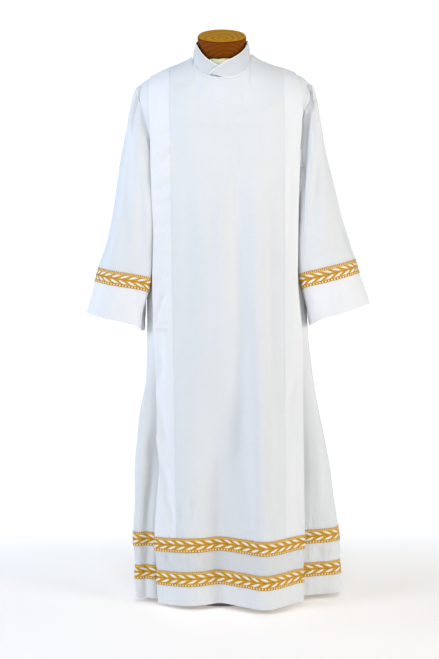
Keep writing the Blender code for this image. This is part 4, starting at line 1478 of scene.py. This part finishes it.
@dataclass
class Sleeve(RobePiece):
    """One set-in sleeve with its band.

    Its grid's columns run round the arm, and the front's inner edge is at those that shares names.
    """

    side: Side = Side.LEFT
    galloon: bpy.types.Material | None = None
    beside: RobePiece | None = None
    inner_edge: tuple[tuple[float, float], ...] = ()  # height, and where the front's inner edge hangs
    depths: tuple[tuple[int, float], ...] = ()  # the least reach to the front of the columns near it
    shares: tuple[tuple[int, float], ...] = ((14, 0.06), (15, 0.28), (16, 0.66), (17, 1.0), (18, 1.0), (19, 0.55))
    head: tuple[tuple[int, float], ...] = ((11, 0.3), (12, 0.7), (13, 1.0), (14, 1.0), (15, 0.9), (16, 0.4))
    clearance: float = 0.0034
    near_front: tuple[float, float] = (0.24, 0.005)  # what lies over the side front: greatest x either way, and y
    beside_reach: tuple[float, float] = (0.004, 0.005)  # how near, across and up, a point of it counts
    tucked: tuple[tuple[int, float], ...] = ((-2, 0.0022), (-3, 0.0010), (-4, 0.0004))  # fine row, and how far in
    end_in: float = 0.0050  # how far the sewn end goes in, forward and down
    end_forward: float = 0.0016
    end_turn: float = 0.012  # how far before and behind the middle it turns forward and back
    end_down: float = 0.0012
    eased_head: float = 1.0  # how far the front of the sleeve's head runs straight from the armhole
    head_rows: int = 3  # and over how many rows
    armpit: tuple[float, float] = (1.24, 0.05)  # above it the edge follows the armhole, and over how much it eases
    cuff_rows: int = 4  # below them nothing is brought to the front
    cuff_ease: float = 3.0  # and over so many rows it begins

    def at(self, column: int) -> int:
        """The same column on the left and on the right sleeve."""
        return column if self.side is Side.LEFT else self.columns - column

    def led(self, grid: np.ndarray) -> np.ndarray:
        """Hangs the front's inner edge beside the overlay, in front of the armhole's lower half.

        Args:
            grid: the solid's coarse points, which are moved.

        Returns:
            The same grid.
        """
        heights, places = np.array(self.inner_edge).T
        last = self.rows - 1
        for column, share in self.head:
            at = self.at(column)
            top, low = grid[last, at].copy(), grid[last - self.head_rows, at].copy()
            for step in range(1, self.head_rows):
                point = grid[last - step, at]
                point += (top + (low - top) * step / self.head_rows - point) * share * self.eased_head
        depths = dict(self.depths)
        for row in range(last):
            for column, share in self.shares:
                point = grid[row, self.at(column)]
                fade = 1.0 - float(eased(np.array((point[2] - self.armpit[0]) / self.armpit[1])))
                point[0] += (np.interp(point[2], heights, places) - point[0]) * share * fade
                if column in depths and row >= self.cuff_rows:
                    grown = float(eased(np.array((row - self.cuff_rows) / self.cuff_ease))) * fade
                    point[1] += (min(point[1], depths[column]) - point[1]) * grown
        return grid

    def cleared(self, sheet: Sheet) -> Sheet:
        """Pushes what lies over the side front forward until it is clear of it, and tucks in the sewn end.

        Args:
            sheet: the creased sheet, whose points are moved.

        Returns:
            The same sheet.
        """
        under = self.beside.sheet.points.reshape(-1, 3)
        points = sheet.points[:-2].reshape(-1, 3)
        widest, deepest = self.near_front
        near = np.nonzero((points[:, 1] < deepest) & (np.abs(points[:, 0]) < widest))[0]
        for start in range(0, len(near), MOST_AT_ONCE):
            part = near[start : start + MOST_AT_ONCE]
            gap = np.abs(points[part][:, None, (0, 2)] - under[None][:, :, (0, 2)])
            nearest = np.argmin((gap**2).sum(axis=2), axis=1)
            close = (gap[np.arange(len(part)), nearest] < self.beside_reach).all(axis=1)
            limit = under[nearest, 1] - self.clearance
            points[part, 1] = np.where(close, np.minimum(points[part, 1], limit), points[part, 1])
        sheet.points[:-2] = points.reshape(sheet.points[:-2].shape)
        inward = -self.side.value
        for row, shift in self.tucked:
            sheet.points[row, :, 0] += inward * shift
        end = sheet.points[-1]
        end[:, 0] += inward * self.end_in
        end[:, 1] -= np.clip(end[:, 1] / self.end_turn, -1.0, 1.0) * self.end_forward
        end[:, 2] -= self.end_down
        return sheet

    def build(self, tailor: Tailor) -> None:
        """Sews the sleeve and its band.

        Args:
            tailor: who sews them.
        """
        name = f"sleeve_cloth_{self.side.word}"
        tailor.fit(name, Place(self.node, ("form_body",)), self.sheet, self.cloth, doubled=self.doubled(),
                   most=DOUBLED_THICKNESS)
        tailor.fit(f"galloon_sleeve_{self.side.word}", Place(f"trim_sleeve_{self.side.word}", (name,), "galloon"),
                   band_of(self.sheet, CUFF_BAND_ROWS), self.galloon, thickness=BAND_THICKNESS)


@dataclass
class Collar(RobePiece):
    """The stand collar, its ends crossing in front."""

    wall: float = 0.0014
    tuck: float = 0.006  # how far its foot goes down inside the neckline
    untucked: float = 0.9  # and how much less it does at the over end
    foot_in: float = 0.0006
    lap: float = 0.16  # the share of its length that crosses at each end
    over_end: float = 0.0018  # how far the over end stands off, and the under end lies in
    under_end: float = 0.0012
    foot_share: float = 0.45  # how much of that the foot does
    lift: float = 0.0060  # how far the over end's lower corner is drawn up and out
    lift_out: float = 0.0012
    lift_length: float = 0.046

    def build(self, tailor: Tailor) -> None:
        """Sews the collar: its foot goes down inside the neckline, and its over end stands off a little more.

        Args:
            tailor: who sews it.
        """
        points = self.sheet.points
        rows, columns = points.shape[:2]
        along = np.arange(columns)
        start = eased(1.0 - along / (self.lap * columns))
        level = np.linspace(0.0, 1.0, rows)[:, None]
        under = eased(1.0 - along[::-1] / (self.lap * columns)) * self.under_end
        share = self.foot_share + (1.0 - self.foot_share) * level
        stand_off = (start * self.over_end)[None, :] * share - under[None, :]
        points[:] = points + self.sheet.normals() * stand_off[..., None]
        away = lengths_along(points.transpose(1, 0, 2))
        drawn = np.exp(-((away / self.lift_length) ** 2))
        rise = drawn[None, :] * (1.0 - level) ** 2
        points[:] = points + self.sheet.normals() * (rise * self.lift_out)[..., None]
        points[..., 2] += rise * self.lift
        foot = points[:1] - self.sheet.normals()[:1] * self.foot_in
        foot[..., 2] -= (self.tuck * (1.0 - self.untucked * drawn))[None, :]
        tucked = Sheet(np.concatenate([foot, points]), [1] + self.sheet.row_steps, self.sheet.column_steps)
        # how far each point lies from the top and the ends, where the finish paints its highlight
        rims = (tucked.points[-1:], tucked.points[:, :1], tucked.points[:, -1:])
        edge = np.min([np.linalg.norm(tucked.points - rim, axis=2) for rim in rims], axis=0)
        tailor.fit("collar_cloth", Place(self.node, ("neck_cap", "panel_cloth")), tucked, self.cloth,
                   cut=self.sheet, thickness=self.wall, marks={"edge": edge})


# ---------------------------------------------------------------- the dress form and stand
@dataclass
class DressForm:
    """The limbless form under the robe."""

    canvas: bpy.types.Material
    flatness: float = math.radians(30.0)  # up to which two triangles make one face, of corners up to the next
    squareness: float = math.radians(60.0)
    smooth: float = math.radians(40.0)

    def build(self) -> None:
        """Rounds the form's solid and dresses it in canvas."""
        form = copy_of("form_body")
        form.name = form.data.name = "form_canvas"
        bpy.ops.mesh.tris_convert_to_quads(face_threshold=self.flatness, shape_threshold=self.squareness)
        bpy.ops.object.mode_set(mode="OBJECT")
        rounding = form.modifiers.new("rounding", "SUBSURF")
        rounding.levels = rounding.render_levels = 2
        bpy.ops.object.modifier_apply(modifier=rounding.name)
        bpy.ops.object.shade_smooth_by_angle(angle=self.smooth)
        form.data.materials.clear()
        form.data.materials.append(self.canvas)
        tie(form, "form_body")


@dataclass
class TurnedPiece:
    """A round solid made by extruding a circle from ring to ring.

    Each ring is (radius, height, tilt in radians about the X axis).
    """

    name: str
    node: str
    slot: str
    finish: bpy.types.Material
    rings: tuple[tuple[float, float, float], ...]
    middle: float = 0.0
    count: int = 96
    bevel: float = 0.0
    sharp: float = math.radians(30.0)  # the angle past which an edge is an edge

    def build(self) -> None:
        """Makes the solid and ties it to the frame."""
        radius, height, before = self.rings[0]
        bpy.ops.object.select_all(action="DESELECT")
        bpy.ops.mesh.primitive_circle_add(vertices=self.count, radius=radius, fill_type="NGON",
                                          location=(self.middle, 0.0, height))
        piece = bpy.context.object
        piece.name = piece.data.name = self.name
        bpy.ops.object.transform_apply(location=True, rotation=True, scale=True)
        bpy.ops.object.mode_set(mode="EDIT")
        bpy.ops.mesh.select_mode(type="FACE")
        bpy.ops.mesh.select_all(action="SELECT")
        for wide, high, tilt in self.rings[1:]:
            bpy.ops.mesh.extrude_region_move(TRANSFORM_OT_translate={"value": (0.0, 0.0, high - height)})
            middle = (self.middle, 0.0, high)
            bpy.ops.transform.resize(value=(wide / radius, wide / radius, 1.0), center_override=middle)
            if tilt != before:
                bpy.ops.transform.rotate(value=-(tilt - before), orient_axis="X", center_override=middle)
            radius, height, before = wide, high, tilt
        bpy.ops.mesh.select_all(action="SELECT")
        bpy.ops.mesh.normals_make_consistent(inside=False)
        bpy.ops.object.mode_set(mode="OBJECT")
        if self.bevel:
            edge = piece.modifiers.new("edge", "BEVEL")
            edge.width, edge.segments, edge.limit_method, edge.angle_limit = self.bevel, 3, "ANGLE", self.sharp
            bpy.ops.object.modifier_apply(modifier=edge.name)
        bpy.ops.object.shade_smooth_by_angle(angle=self.sharp)
        piece.data.materials.append(self.finish)
        tie(piece, self.node)


# ---------------------------------------------------------------- the studio
@dataclass(frozen=True)
class Lamp:
    """One soft square lamp."""

    name: str
    place: tuple[float, float, float]
    aim: tuple[float, float, float]
    size: float
    watts: float
    colour: tuple[float, float, float]

    def hang(self) -> None:
        """Hangs the lamp and turns it to what it lights."""
        data = bpy.data.lights.new(self.name, "AREA")
        data.shape, data.size, data.energy, data.color = "SQUARE", self.size, self.watts, self.colour
        lamp = bpy.data.objects.new(self.name, data)
        lamp.location = self.place
        way = np.array(self.aim) - np.array(self.place)
        down = math.acos(-way[2] / np.linalg.norm(way))
        lamp.rotation_euler = (down, 0.0, math.atan2(way[1], way[0]) - math.pi / 2)
        bpy.context.scene.collection.objects.link(lamp)


LAMPS = (  # cooler from the left
    Lamp("key", (-3.4, -1.9, 2.3), (0.0, 0.0, 1.0), 1.4, 72.0, (0.80, 0.86, 1.0)),
    Lamp("fill", (3.4, -1.9, 1.7), (0.0, 0.0, 1.0), 1.4, 68.0, (1.0, 0.94, 0.84)),
    Lamp("front", (0.0, -5.0, 2.2), (0.0, 0.0, 1.0), 2.0, 9.0, (1.0, 0.98, 0.95)),
    Lamp("top", (0.0, -1.5, 2.75), (0.0, 0.0, 1.3), 0.9, 14.5, (1.0, 0.96, 0.95)),
    Lamp("left", (-3.4, 0.8, 1.6), (0.0, 0.0, 1.1), 1.4, 22.0, (0.52, 0.72, 1.0)),
    Lamp("right", (3.4, 0.8, 1.6), (0.0, 0.0, 1.1), 1.4, 2.0, (1.0, 0.99, 0.96)),
)


@dataclass
class Studio:
    """A pale room with soft light, and the camera."""

    floor_paper: PlainFinish = PlainFinish("floor_paper", (0.9, 0.9, 0.9), 0.9, 0.01, ((0.285, 0.24, 0.2), 0.7))
    wall_paper: PlainFinish = PlainFinish("wall_paper", (0.08, 0.08, 0.08), 0.9, 0.01, ((1.0, 1.0, 1.0), 1.0))
    floor_size: float = 16.0
    floor_level: float = -0.001
    wall_size: float = 5.0
    wall_distance: float = 6.8  # far behind, out of the way of a look at the back
    room: tuple[float, float, float] = (0.66, 0.85, 1.0)
    room_strength: float = 0.24
    camera_place: tuple[float, float, float] = (-0.0075, -4.0, 1.2)
    camera_pitch: float = math.radians(83.2)
    lens: float = 82.43
    film: float = 36.0

    def sheet(self, name: str, size: float, place: tuple[float, float, float], turn: float,
              finish: PlainFinish) -> None:
        """Lays out one plain sheet.

        Args:
            name: its name.
            size: the length of its sides.
            place: its middle.
            turn: how far it is turned up about the X axis, in radians.
            finish: its finish.
        """
        bpy.ops.object.select_all(action="DESELECT")
        bpy.ops.mesh.primitive_plane_add(size=size, location=place, rotation=(turn, 0.0, 0.0))
        sheet = bpy.context.object
        sheet.name = sheet.data.name = name
        bpy.ops.object.transform_apply(location=True, rotation=True, scale=True)
        sheet.data.materials.append(finish.material())

    def light(self) -> None:
        """Lights the robe from all round, from above and from both sides."""
        world = bpy.data.worlds.new("room")
        bpy.context.scene.world = world
        world.use_nodes = True
        background = world.node_tree.nodes["Background"]
        background.inputs["Color"].default_value = (*self.room, 1.0)
        background.inputs["Strength"].default_value = self.room_strength
        for lamp in LAMPS:
            lamp.hang()

    def view(self) -> None:
        """Sets the camera."""
        data = bpy.data.cameras.new("camera")
        data.sensor_fit, data.sensor_height, data.lens = "VERTICAL", self.film, self.lens
        camera = bpy.data.objects.new("camera", data)
        camera.location = self.camera_place
        camera.rotation_euler = (self.camera_pitch, 0.0, 0.0)
        bpy.context.scene.collection.objects.link(camera)
        bpy.context.scene.camera = camera

    def build(self) -> None:
        """Makes the whole studio, shown with its plain colours."""
        bpy.context.scene.view_settings.view_transform = "Standard"
        self.sheet("floor", self.floor_size, (0.0, 0.0, self.floor_level), 0.0, self.floor_paper)
        wall_middle = (0.0, self.wall_distance, self.wall_size / 2.0 + self.floor_level)
        self.sheet("backdrop", self.wall_size, wall_middle, math.pi / 2, self.wall_paper)
        self.light()
        self.view()


# ---------------------------------------------------------------- the folds
def charted(*rows: tuple[float | tuple[float, float], ...], view: View = View.FRONT,
            ends: tuple[float, float] = (0.35, 0.35)) -> tuple[Crease, ...]:
    """Reads creases from a chart in millimetres.

    Args:
        rows: for each crease its width, its depth and the points of its path.
        view: the view that they are drawn on.
        ends: over what share of its length each of them fades at its start and at its end.

    Returns:
        The creases, in the order of the chart.
    """
    return tuple(Crease(tuple((across / 1000.0, height / 1000.0) for across, height in path), width / 1000.0,
                        depth / 1000.0, view, *ends) for width, depth, *path in rows)


SLEEVE_ROWS = 14
SLEEVE_ROW_STEPS = [3, 5] + [6] * 11

LEFT_EDGE = ((0.767, -0.2115), (0.81, -0.1985), (0.852, -0.1875), (0.893, -0.1835), (0.93, -0.1800), (0.965, -0.1765),
             (1.00, -0.1740), (1.048, -0.1740), (1.09, -0.1750), (1.15, -0.1780), (1.20, -0.1810), (1.26, -0.1880))
RIGHT_EDGE = ((0.767, 0.2285), (0.81, 0.2140), (0.866, 0.2015), (0.893, 0.1985), (0.93, 0.1970), (0.965, 0.1965),
              (1.00, 0.1975), (1.048, 0.1985), (1.09, 0.1995), (1.15, 0.2010), (1.20, 0.2030), (1.26, 0.2080))
LEFT_DEPTHS = ((15, -0.0830), (16, -0.0830), (17, -0.0775), (18, -0.0760))
RIGHT_DEPTHS = ((15, -0.0840), (16, -0.0700), (17, -0.0620), (18, -0.0580))
PANEL_LEFT = ((0.50, 0.0), (0.65, 0.0015), (0.80, 0.0040), (0.90, 0.0050), (1.00, 0.0060), (1.09, 0.0050),
              (1.15, 0.0030), (1.26, 0.0))
PANEL_RIGHT = ((0.50, 0.0), (0.65, 0.0030), (0.80, 0.0050), (0.90, 0.0045), (1.00, 0.0030), (1.09, 0.0020),
               (1.20, 0.0))
RIGHT_SHARES = ((14, 0.02), (15, 0.12), (16, 0.55), (17, 0.90), (18, 1.0), (19, 0.55))

FRONT_CREASES = (
    charted((22, 5, (-160, 1310), (-95, 1284), (-40, 1276), (60, 1278), (110, 1294), (160, 1334)), ends=(0.2, 0.2))
    + charted((24, -7.5, (36, 1270), (40, 1000), (46, 640), (40, 290)), ends=(0.25, 0.2))
    + charted((26, 7, (92, 1270), (90, 960), (98, 600), (100, 215)), ends=(0.35, 0.1))
    + charted(
        (24, 4, (-6, 1240), (-4, 860), (-12, 560), (-46, 260)),
        (20, -1.6, (-90, 1350), (-86, 1000), (-92, 600), (-90, 210)),
        (18, 1.2, (-52, 1200), (-56, 900), (-50, 560)),
        (16, -2.6, (128, 1240), (126, 900), (130, 420)),
        (10, -2, (-136, 1370), (-110, 1371), (-83, 1379)),
        (12, -1.6, (-19, 1363), (-36, 1330), (-57, 1300)),
        (7, -1.8, (52, 1385), (56, 1345), (60, 1310)),
        (7, -1.5, (74, 1390), (82, 1350), (90, 1320)),
        (8, -1.4, (-60, 1385), (-68, 1350), (-74, 1310)),
    )
)
FACING_CREASES = (
    charted(
        (9, -3.6, (-176, 1226), (-156, 1236), (-128, 1262)),
        (8, 4, (-180, 1186), (-160, 1196), (-126, 1226)),
        (8, -4.3, (-180, 1150), (-158, 1166), (-128, 1206)),
        (7, 3.2, (-176, 1112), (-154, 1136), (-130, 1176)),
        (8, -3.6, (-178, 1086), (-160, 1100), (-134, 1130)),
        (10, -3.2, (-174, 1048), (-156, 1056), (-132, 1080)),
        (10, -3.6, (-178, 985), (-160, 996), (-134, 1024)),
        (10, 3.2, (-176, 930), (-156, 938), (-130, 960)),
        (10, -4.3, (-164, 740), (-160, 660), (-166, 570)),
        (11, -4.3, (-170, 560), (-158, 500), (-150, 420)),
        (8, 4.3, (-176, 470), (-164, 430), (-156, 390)),
        (10, -4, (-170, 400), (-150, 340), (-140, 260)),
        (11, -2.3, (178, 1190), (176, 1060), (172, 900)),
        (10, 2.3, (188, 860), (180, 740), (182, 600)),
        (10, -2.1, (192, 620), (178, 560), (172, 460)),
    )
    + charted((6.5, -4, (-174, 757), (-160, 800), (-144, 848)), ends=(0.1, 0.35))
    + charted(
        (6.5, 3.2, (-174, 800), (-160, 836), (-144, 880)),
        (6.5, -3, (-174, 838), (-159, 868), (-143, 896)),
    )
    + charted(
        (6, 2.4, (-150, 762), (-143, 800), (-134, 836)),
        (8, 2, (-174, 720), (-160, 690), (-156, 650)),
        ends=(0.1, 0.35),
    )
)
LOW_CREASES = charted((26, 4.2, (96, 640), (100, 450), (104, 230)), ends=(0.45, 0.1))
HEM_CREASES = charted(
    (8, -3.7, (-150, 300), (-135, 255), (-128, 215)),
    (7, -3.7, (-115, 290), (-108, 250), (-112, 210)),
    (8, -3.4, (-88, 310), (-84, 260), (-92, 215)),
    (7, -2.7, (-60, 280), (-66, 240), (-70, 210)),
    (7, -3.1, (-152, 145), (-138, 125), (-130, 108)),
    (7, -3.4, (-100, 150), (-92, 128), (-96, 108)),
    (8, -2.7, (-60, 148), (-50, 126), (-54, 106)),
    (8, -2, (10, 150), (16, 126), (10, 106)),
    (8, -2, (120, 150), (128, 126), (124, 106)),
)
SWELLS = ((0, 0.0), (2, 0.0010), (3, -0.0030), (4, 0.0030), (5, 0.0034), (6, 0.0006), (7, 0.0))
BODY_GATHERS = (Gathers(5, 0.0015, 0.030, 0.0, seed=4), Gathers(4, 0.0013, 0.0, 0.022, length=0.022, seed=6),
                Gathers(3, 0.0013, 0.020, 0.0, length=0.02, seed=9),
                Gathers(2, 0.0008, 0.0, 0.026, length=0.03, seed=12))
SLEEVE_GATHERS = (Gathers(3, 0.0008, 0.030, 0.0, seed=21), Gathers(2, 0.0005, 0.0, 0.030, length=0.03, seed=25),
                  Gathers(13, 0.0007, 0.0, 0.030, length=0.022, seed=28))

FRONT_FOLDS = Folds(FRONT_CREASES + FACING_CREASES + LOW_CREASES + HEM_CREASES, RIPPLES, BODY_GATHERS, SWELLS)
SIDE_CREASES = (
    charted((13, -8.5, (-178, 500), (-186, 370), (-196, 270), (-203, 128), (-205, 5)), ends=(0.5, 0.0))
    + charted(
        (14, 3, (-208, 640), (-214, 440), (-216, 220)),
        (10, -2.2, (-226, 560), (-232, 400), (-232, 230)),
    )
    + charted((9, -3, (212, 640), (216, 420), (219, 240), (220, 5)), ends=(0.35, 0.0))
    + charted(
        (18, 3.6, (236, 720), (250, 460), (262, 230)),
        (14, -2, (276, 400), (284, 300), (288, 215)),
    )
    + charted((7, -7, (227, 1385), (216.5, 1345), (211, 1295), (207, 1240)), ends=(0.1, 0.35))
    + charted(
        (10, -3, (252, 150), (262, 128), (256, 108)),
        (10, 2.6, (288, 150), (296, 128), (290, 108)),
        (10, -3, (-205, 150), (-198, 128), (-204, 108)),
    )
)
SIDE_FOLDS = Folds(SIDE_CREASES, RIPPLES, BODY_GATHERS, SWELLS)
BACK_CREASES = charted(
    (26, 6, (-100, 1260), (-104, 900), (-98, 500), (-110, 240)),
    (28, 6, (60, 1280), (64, 900), (56, 560), (60, 250)),
    (24, -6, (-20, 1250), (-24, 800), (-16, 340)),
    (22, -5, (130, 1200), (134, 760), (140, 300)),
    (20, -4, (-150, 1180), (-156, 720), (-150, 280)),
    (24, -3, (-150, 1370), (-80, 1330), (0, 1320), (80, 1332), (160, 1372)),
    (9, -2, (-130, 300), (-120, 250), (-126, 212)),
    (9, -2, (20, 290), (26, 250), (18, 212)),
    (9, -1.8, (150, 300), (144, 250), (152, 212)),
    view=View.BACK,
)
BACK_FOLDS = Folds(BACK_CREASES, RIPPLES, BODY_GATHERS, SWELLS)
LEFT_SLEEVE_CREASES = (
    charted((13, 2.2, (-229, 1339), (-230, 1250), (-231, 1044), (-236, 930)), ends=(0.2, 0.35))
    + charted(
        (10, -1.8, (-244, 1300), (-246, 1150), (-248, 1000), (-250, 902)),
        (11, -3, (-210, 1150), (-212, 1000), (-218, 900)),
        (12, 2.4, (-272, 1080), (-280, 980), (-286, 890)),
        (14, -3, (-220, 860), (-226, 800), (-224, 760)),
        (14, 2.2, (-280, 850), (-284, 810), (-286, 770)),
    )
    + charted(
        (16, -4, (50, 1240), (54, 1080), (20, 920)),
        (14, -3, (-30, 1280), (-34, 1060), (-30, 900)),
        view=View.LEFT,
    )
    + charted((14, -3.6, (-240, 1250), (-250, 1080), (-262, 930)), view=View.BACK)
)
LEFT_SLEEVE_FOLDS = Folds(LEFT_SLEEVE_CREASES, RIPPLES, SLEEVE_GATHERS)
RIGHT_SLEEVE_CREASES = (
    charted((10, 2.4, (237, 1325), (234, 1199), (224, 1040), (214, 905)), ends=(0.15, 0.35))
    + charted((8, -6, (233, 1335), (215, 1260), (208.5, 1180), (206, 1060), (205, 930)), ends=(0.1, 0.35))
    + charted((5, -2.8, (230, 1352), (220, 1332), (209, 1308)), ends=(0.1, 0.1))
    + charted((9, -3.8, (247, 1326), (243, 1173), (240, 1020)), ends=(0.2, 0.35))
    + charted(
        (14, 3, (262, 1180), (264, 1050), (262, 920)),
        (14, -2.8, (288, 1080), (300, 980), (306, 900)),
        (6, -3, (246, 1352), (238, 1330), (228, 1322)),
        (14, 2.4, (236, 830), (246, 790), (252, 760)),
        (16, -2.6, (316, 860), (322, 820), (330, 780)),
    )
    + charted(
        (16, -4, (50, 1240), (54, 1080), (20, 920)),
        (14, -3, (-30, 1280), (-34, 1060), (-30, 900)),
        view=View.RIGHT,
    )
    + charted((14, -3.6, (260, 1250), (272, 1080), (290, 930)), view=View.BACK)
)
RIGHT_SLEEVE_FOLDS = Folds(RIGHT_SLEEVE_CREASES, RIPPLES, SLEEVE_GATHERS)


# ---------------------------------------------------------------- the whole
def build_robe() -> None:
    """Makes every piece of cloth."""
    tailor = Tailor()
    cloth = WovenCloth().material()
    overlay = PanelCloth().material()
    band = WovenBand("galloon_skirt").material()
    band_left = WovenBand("galloon_cuff_left", turned=True, repeat=23.0).material()
    band_right = WovenBand("galloon_cuff_right", repeat=24.0).material()
    body = {"rows": BODY_ROWS, "row_steps": BODY_ROW_STEPS}
    panel = FrontPanel("front_panel", overlay, FRONT_FOLDS, columns=25, step=0.0045, galloon=band, lining=cloth,
                       left_shift=PANEL_LEFT, right_shift=PANEL_RIGHT, **body)
    left = SideFront("side_front_left", cloth, SIDE_FOLDS, columns=9, step=0.006, side=Side.LEFT, **body)
    right = SideFront("side_front_right", cloth, SIDE_FOLDS, columns=9, step=0.006, side=Side.RIGHT, **body)
    back = BackPiece("back", cloth, BACK_FOLDS, columns=27, step=0.006, **body)
    for piece in (panel, left, right, back):
        piece.build(tailor)
    SkirtBands([right, back, left], band).build(tailor)
    arm = {"rows": SLEEVE_ROWS, "row_steps": SLEEVE_ROW_STEPS, "columns": 20, "step": 0.0055, "tube": True}
    Sleeve("sleeve_left", cloth, LEFT_SLEEVE_FOLDS, side=Side.LEFT, galloon=band_left, beside=left,
           inner_edge=LEFT_EDGE, depths=LEFT_DEPTHS, **arm).build(tailor)
    Sleeve("sleeve_right", cloth, RIGHT_SLEEVE_FOLDS, side=Side.RIGHT, galloon=band_right, beside=right,
           inner_edge=RIGHT_EDGE, depths=RIGHT_DEPTHS, shares=RIGHT_SHARES, eased_head=0.6, **arm).build(tailor)
    Collar("collar", CollarCloth().material(), Folds(), rows=3, columns=24, step=0.003, row_steps=[9, 9]).build(tailor)


def build_form() -> None:
    """Makes the dress form and its stand."""
    canvas = PlainFinish("form_canvas", from_display(255, 255, 208), 0.8).material()
    wood = TurnedWood().material()
    paint = PlainFinish("stand_paint", (0.10, 0.10, 0.11), 0.4).material()
    DressForm(canvas).build()
    TurnedPiece("neck_cap_wood", "neck_cap", "wood", wood,
                ((0.0570, 1.4344, 0.0), (0.0599, 1.4500, 0.0), (0.0634, 1.4840, CAP_TILT * 0.6),
                 (0.0634, 1.4930, CAP_TILT), (0.0604, 1.4960, CAP_TILT)), CAP_MIDDLE).build()
    TurnedPiece("pole_tube", "stand_pole", "stand", paint, ((0.0140, 0.0184, 0.0), (0.0140, 0.7996, 0.0)),
                count=48).build()
    TurnedPiece("base_plate", "stand_base", "stand", paint,
                ((0.1220, 0.0, 0.0), (0.1220, 0.0090, 0.0), (0.1160, 0.0153, 0.0), (0.1020, 0.0180, 0.0)),
                bevel=0.0008).build()


def main() -> None:
    """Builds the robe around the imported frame."""
    logging.basicConfig(level=logging.INFO, format="%(name)s: %(message)s")
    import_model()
    build_robe()
    build_form()
    Studio().build()


if __name__ == "__main__":
    main()
